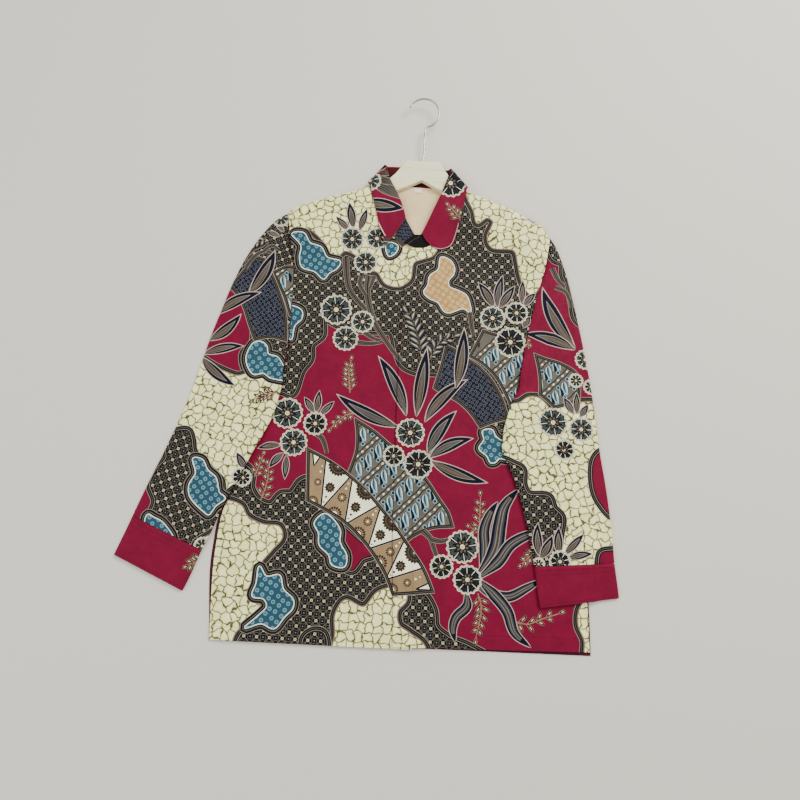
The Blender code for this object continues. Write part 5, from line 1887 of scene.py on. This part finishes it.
turns = np.radians(np.linspace(-72.0, 162.0, 72))
loop = HOOK_CENTRE + LOOP_RADIUS * np.column_stack([np.cos(turns), np.sin(turns)])
shank = flowing([(0, HOOK_FOOT), (0, 500), (0, 525), (0.2, 538), tuple(loop[0])], step=2.0)
hook_line = np.vstack([shank[:-1], loop])
rise = HANGER_MIDDLE + (hook_line[:, 1] - HOOK_FOOT) * 0.08
hook = wire("hook_wire", np.column_stack([hook_line, rise]), HOOK_RADIUS, plated_wire())
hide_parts("hanger_hook")

# %% [markdown]
# ## What each piece of cloth was cut to
# Every piece of cloth is listed with the size of its flat cut, along and across the grain, and
# the size is printed. A sleeve is cut once and folded round, so its cut is twice as wide as it lies.
# The small tape is cut 10 mm long, and a millimetre is turned under at each of its ends.

def cut_size(ring, turn=0.0, layers=1):
    """Width, length and area of a flat piece in metres, with its grain turned upright."""
    width, length = np.ptp(spun_by(ring, turn), axis=0) * MM
    area = abs(signed_area(ring)) * MM * MM
    return {"flat": (round(width * layers, 4), round(length, 4)), "area": round(area * layers, 6)}


def strip_size(strip):
    """The same for a bent strip, from the grid that it lies on."""
    grid = strip["grid"]
    across, run = grid[:-1, 1:] - grid[:-1, :-1], grid[1:, :-1] - grid[:-1, :-1]
    area = np.linalg.norm(np.cross(across, run), axis=2).sum() * MM * MM
    length = strip["run"][-1] * MM
    return {"flat": (round(area / length, 4), round(length, 4)), "area": round(area, 6)}


def tube_ring(table):
    outer, inner = fold_lines(table)
    return np.vstack([outer, inner[::-1]])


body_side = ["back_cloth", "lining_cloth", "hanger", "collar_stand_cloth"]
for piece, finish, size, below in (
        (back, "batik_cotton", cut_size(back_edge), ["collar_cloth"]),
        (lining_back, "lining", cut_size(lining_edge), ["back_cloth"]),
        (label, "label_tape", {"flat": (0.013, 0.010)}, ["lining_cloth"]),
        (front_left, "batik_cotton", cut_size(front_left_edge), body_side),
        (front_right, "batik_cotton", cut_size(front_right_edge), body_side + ["front_left_cloth"]),
        (sleeve_left, "batik_cotton", cut_size(tube_ring(SLEEVE_LEFT), -20, 2), ["front_left_cloth"]),
        (sleeve_right, "batik_cotton", cut_size(tube_ring(SLEEVE_RIGHT), 10, 2), ["front_right_cloth"]),
        (cuff_left, "batik_cotton", cut_size(tube_ring(CUFF_LEFT), -21, 2), ["sleeve_left_cloth"]),
        (cuff_right, "batik_cotton", cut_size(tube_ring(CUFF_RIGHT), 8, 2), ["sleeve_right_cloth"]),
        (collar, "batik_cotton_collar", strip_size(fall), ["front_left_cloth", "front_right_cloth"]),
        (stand, "batik_cotton_collar", strip_size(standing), ["lining_cloth", "front_left_cloth"])):
    print(piece.name, size)


# %% [markdown]
# ## The studio
# A plain pale floor, one large soft light from the upper right and a weak one from the left keep the
# folds readable. The camera stands over the shirt, a little towards the hem, as someone would who
# holds it at arm's length.

# %% Floor, lights and camera
TILT = 11.49             # degrees from straight down
ROLL = 0.845
CAMERA_PLACE = (-0.0015, -0.1529, 1.0)
FOCAL_LENGTH = 27.9      # on a 36 mm wide picture
FLOOR_RIGHT = Vector((0.9986, 0.0527, 0))
FLOOR_UP = Vector((-0.0527, 0.9986, 0))

floor_mesh = bpy.data.meshes.new("studio_floor")
floor_mesh.from_pydata([(-6, -6, -0.0002), (6, -6, -0.0002), (6, 6, -0.0002), (-6, 6, -0.0002)], [],
                       [(0, 1, 2, 3)])
floor = put("studio_floor", floor_mesh)
paper, paper_tree, paper_shader = new_material("matt studio paper")
feed(paper_tree, paper_shader, {"Base Color": linear("#DBD3C4"), "Roughness": 0.9})
floor_mesh.materials.append(paper)


def soft_light(name, place, size, power, colour):
    lamp = bpy.data.lights.new(name, "AREA")
    lamp.shape = "DISK"
    lamp.size, lamp.energy, lamp.color = size, power, colour
    made = put(name, lamp)
    made.location = place
    made.rotation_euler = (Vector((0, 0.05, 0)) - Vector(place)).to_track_quat("-Z", "Y").to_euler()


soft_light("key", (1.3, 1.5, 1.9), 1.4, 80, (1.0, 0.985, 0.96))
soft_light("fill", (-1.8, -0.6, 1.8), 2.0, 30, (0.95, 0.98, 1.0))
world = bpy.data.worlds.new("studio air")
world.use_nodes = True
feed(world.node_tree, world.node_tree.nodes["Background"], {"Color": (0.9, 0.95, 1.0, 1), "Strength": 0.85})
bpy.context.scene.world = world

tilt, roll = math.radians(TILT), math.radians(ROLL)
forward = math.sin(tilt) * FLOOR_UP - math.cos(tilt) * Vector((0, 0, 1))
picture_up = math.cos(tilt) * FLOOR_UP + math.sin(tilt) * Vector((0, 0, 1))
right = math.cos(roll) * FLOOR_RIGHT + math.sin(roll) * picture_up
up = -math.sin(roll) * FLOOR_RIGHT + math.cos(roll) * picture_up
lens_data = bpy.data.cameras.new("camera")
lens_data.lens, lens_data.sensor_width = FOCAL_LENGTH, 36
camera = put("camera", lens_data)
turned = Matrix((right, up, -forward)).transposed().to_4x4()
camera.matrix_world = Matrix.Translation(CAMERA_PLACE) @ turned
bpy.context.scene.camera = camera
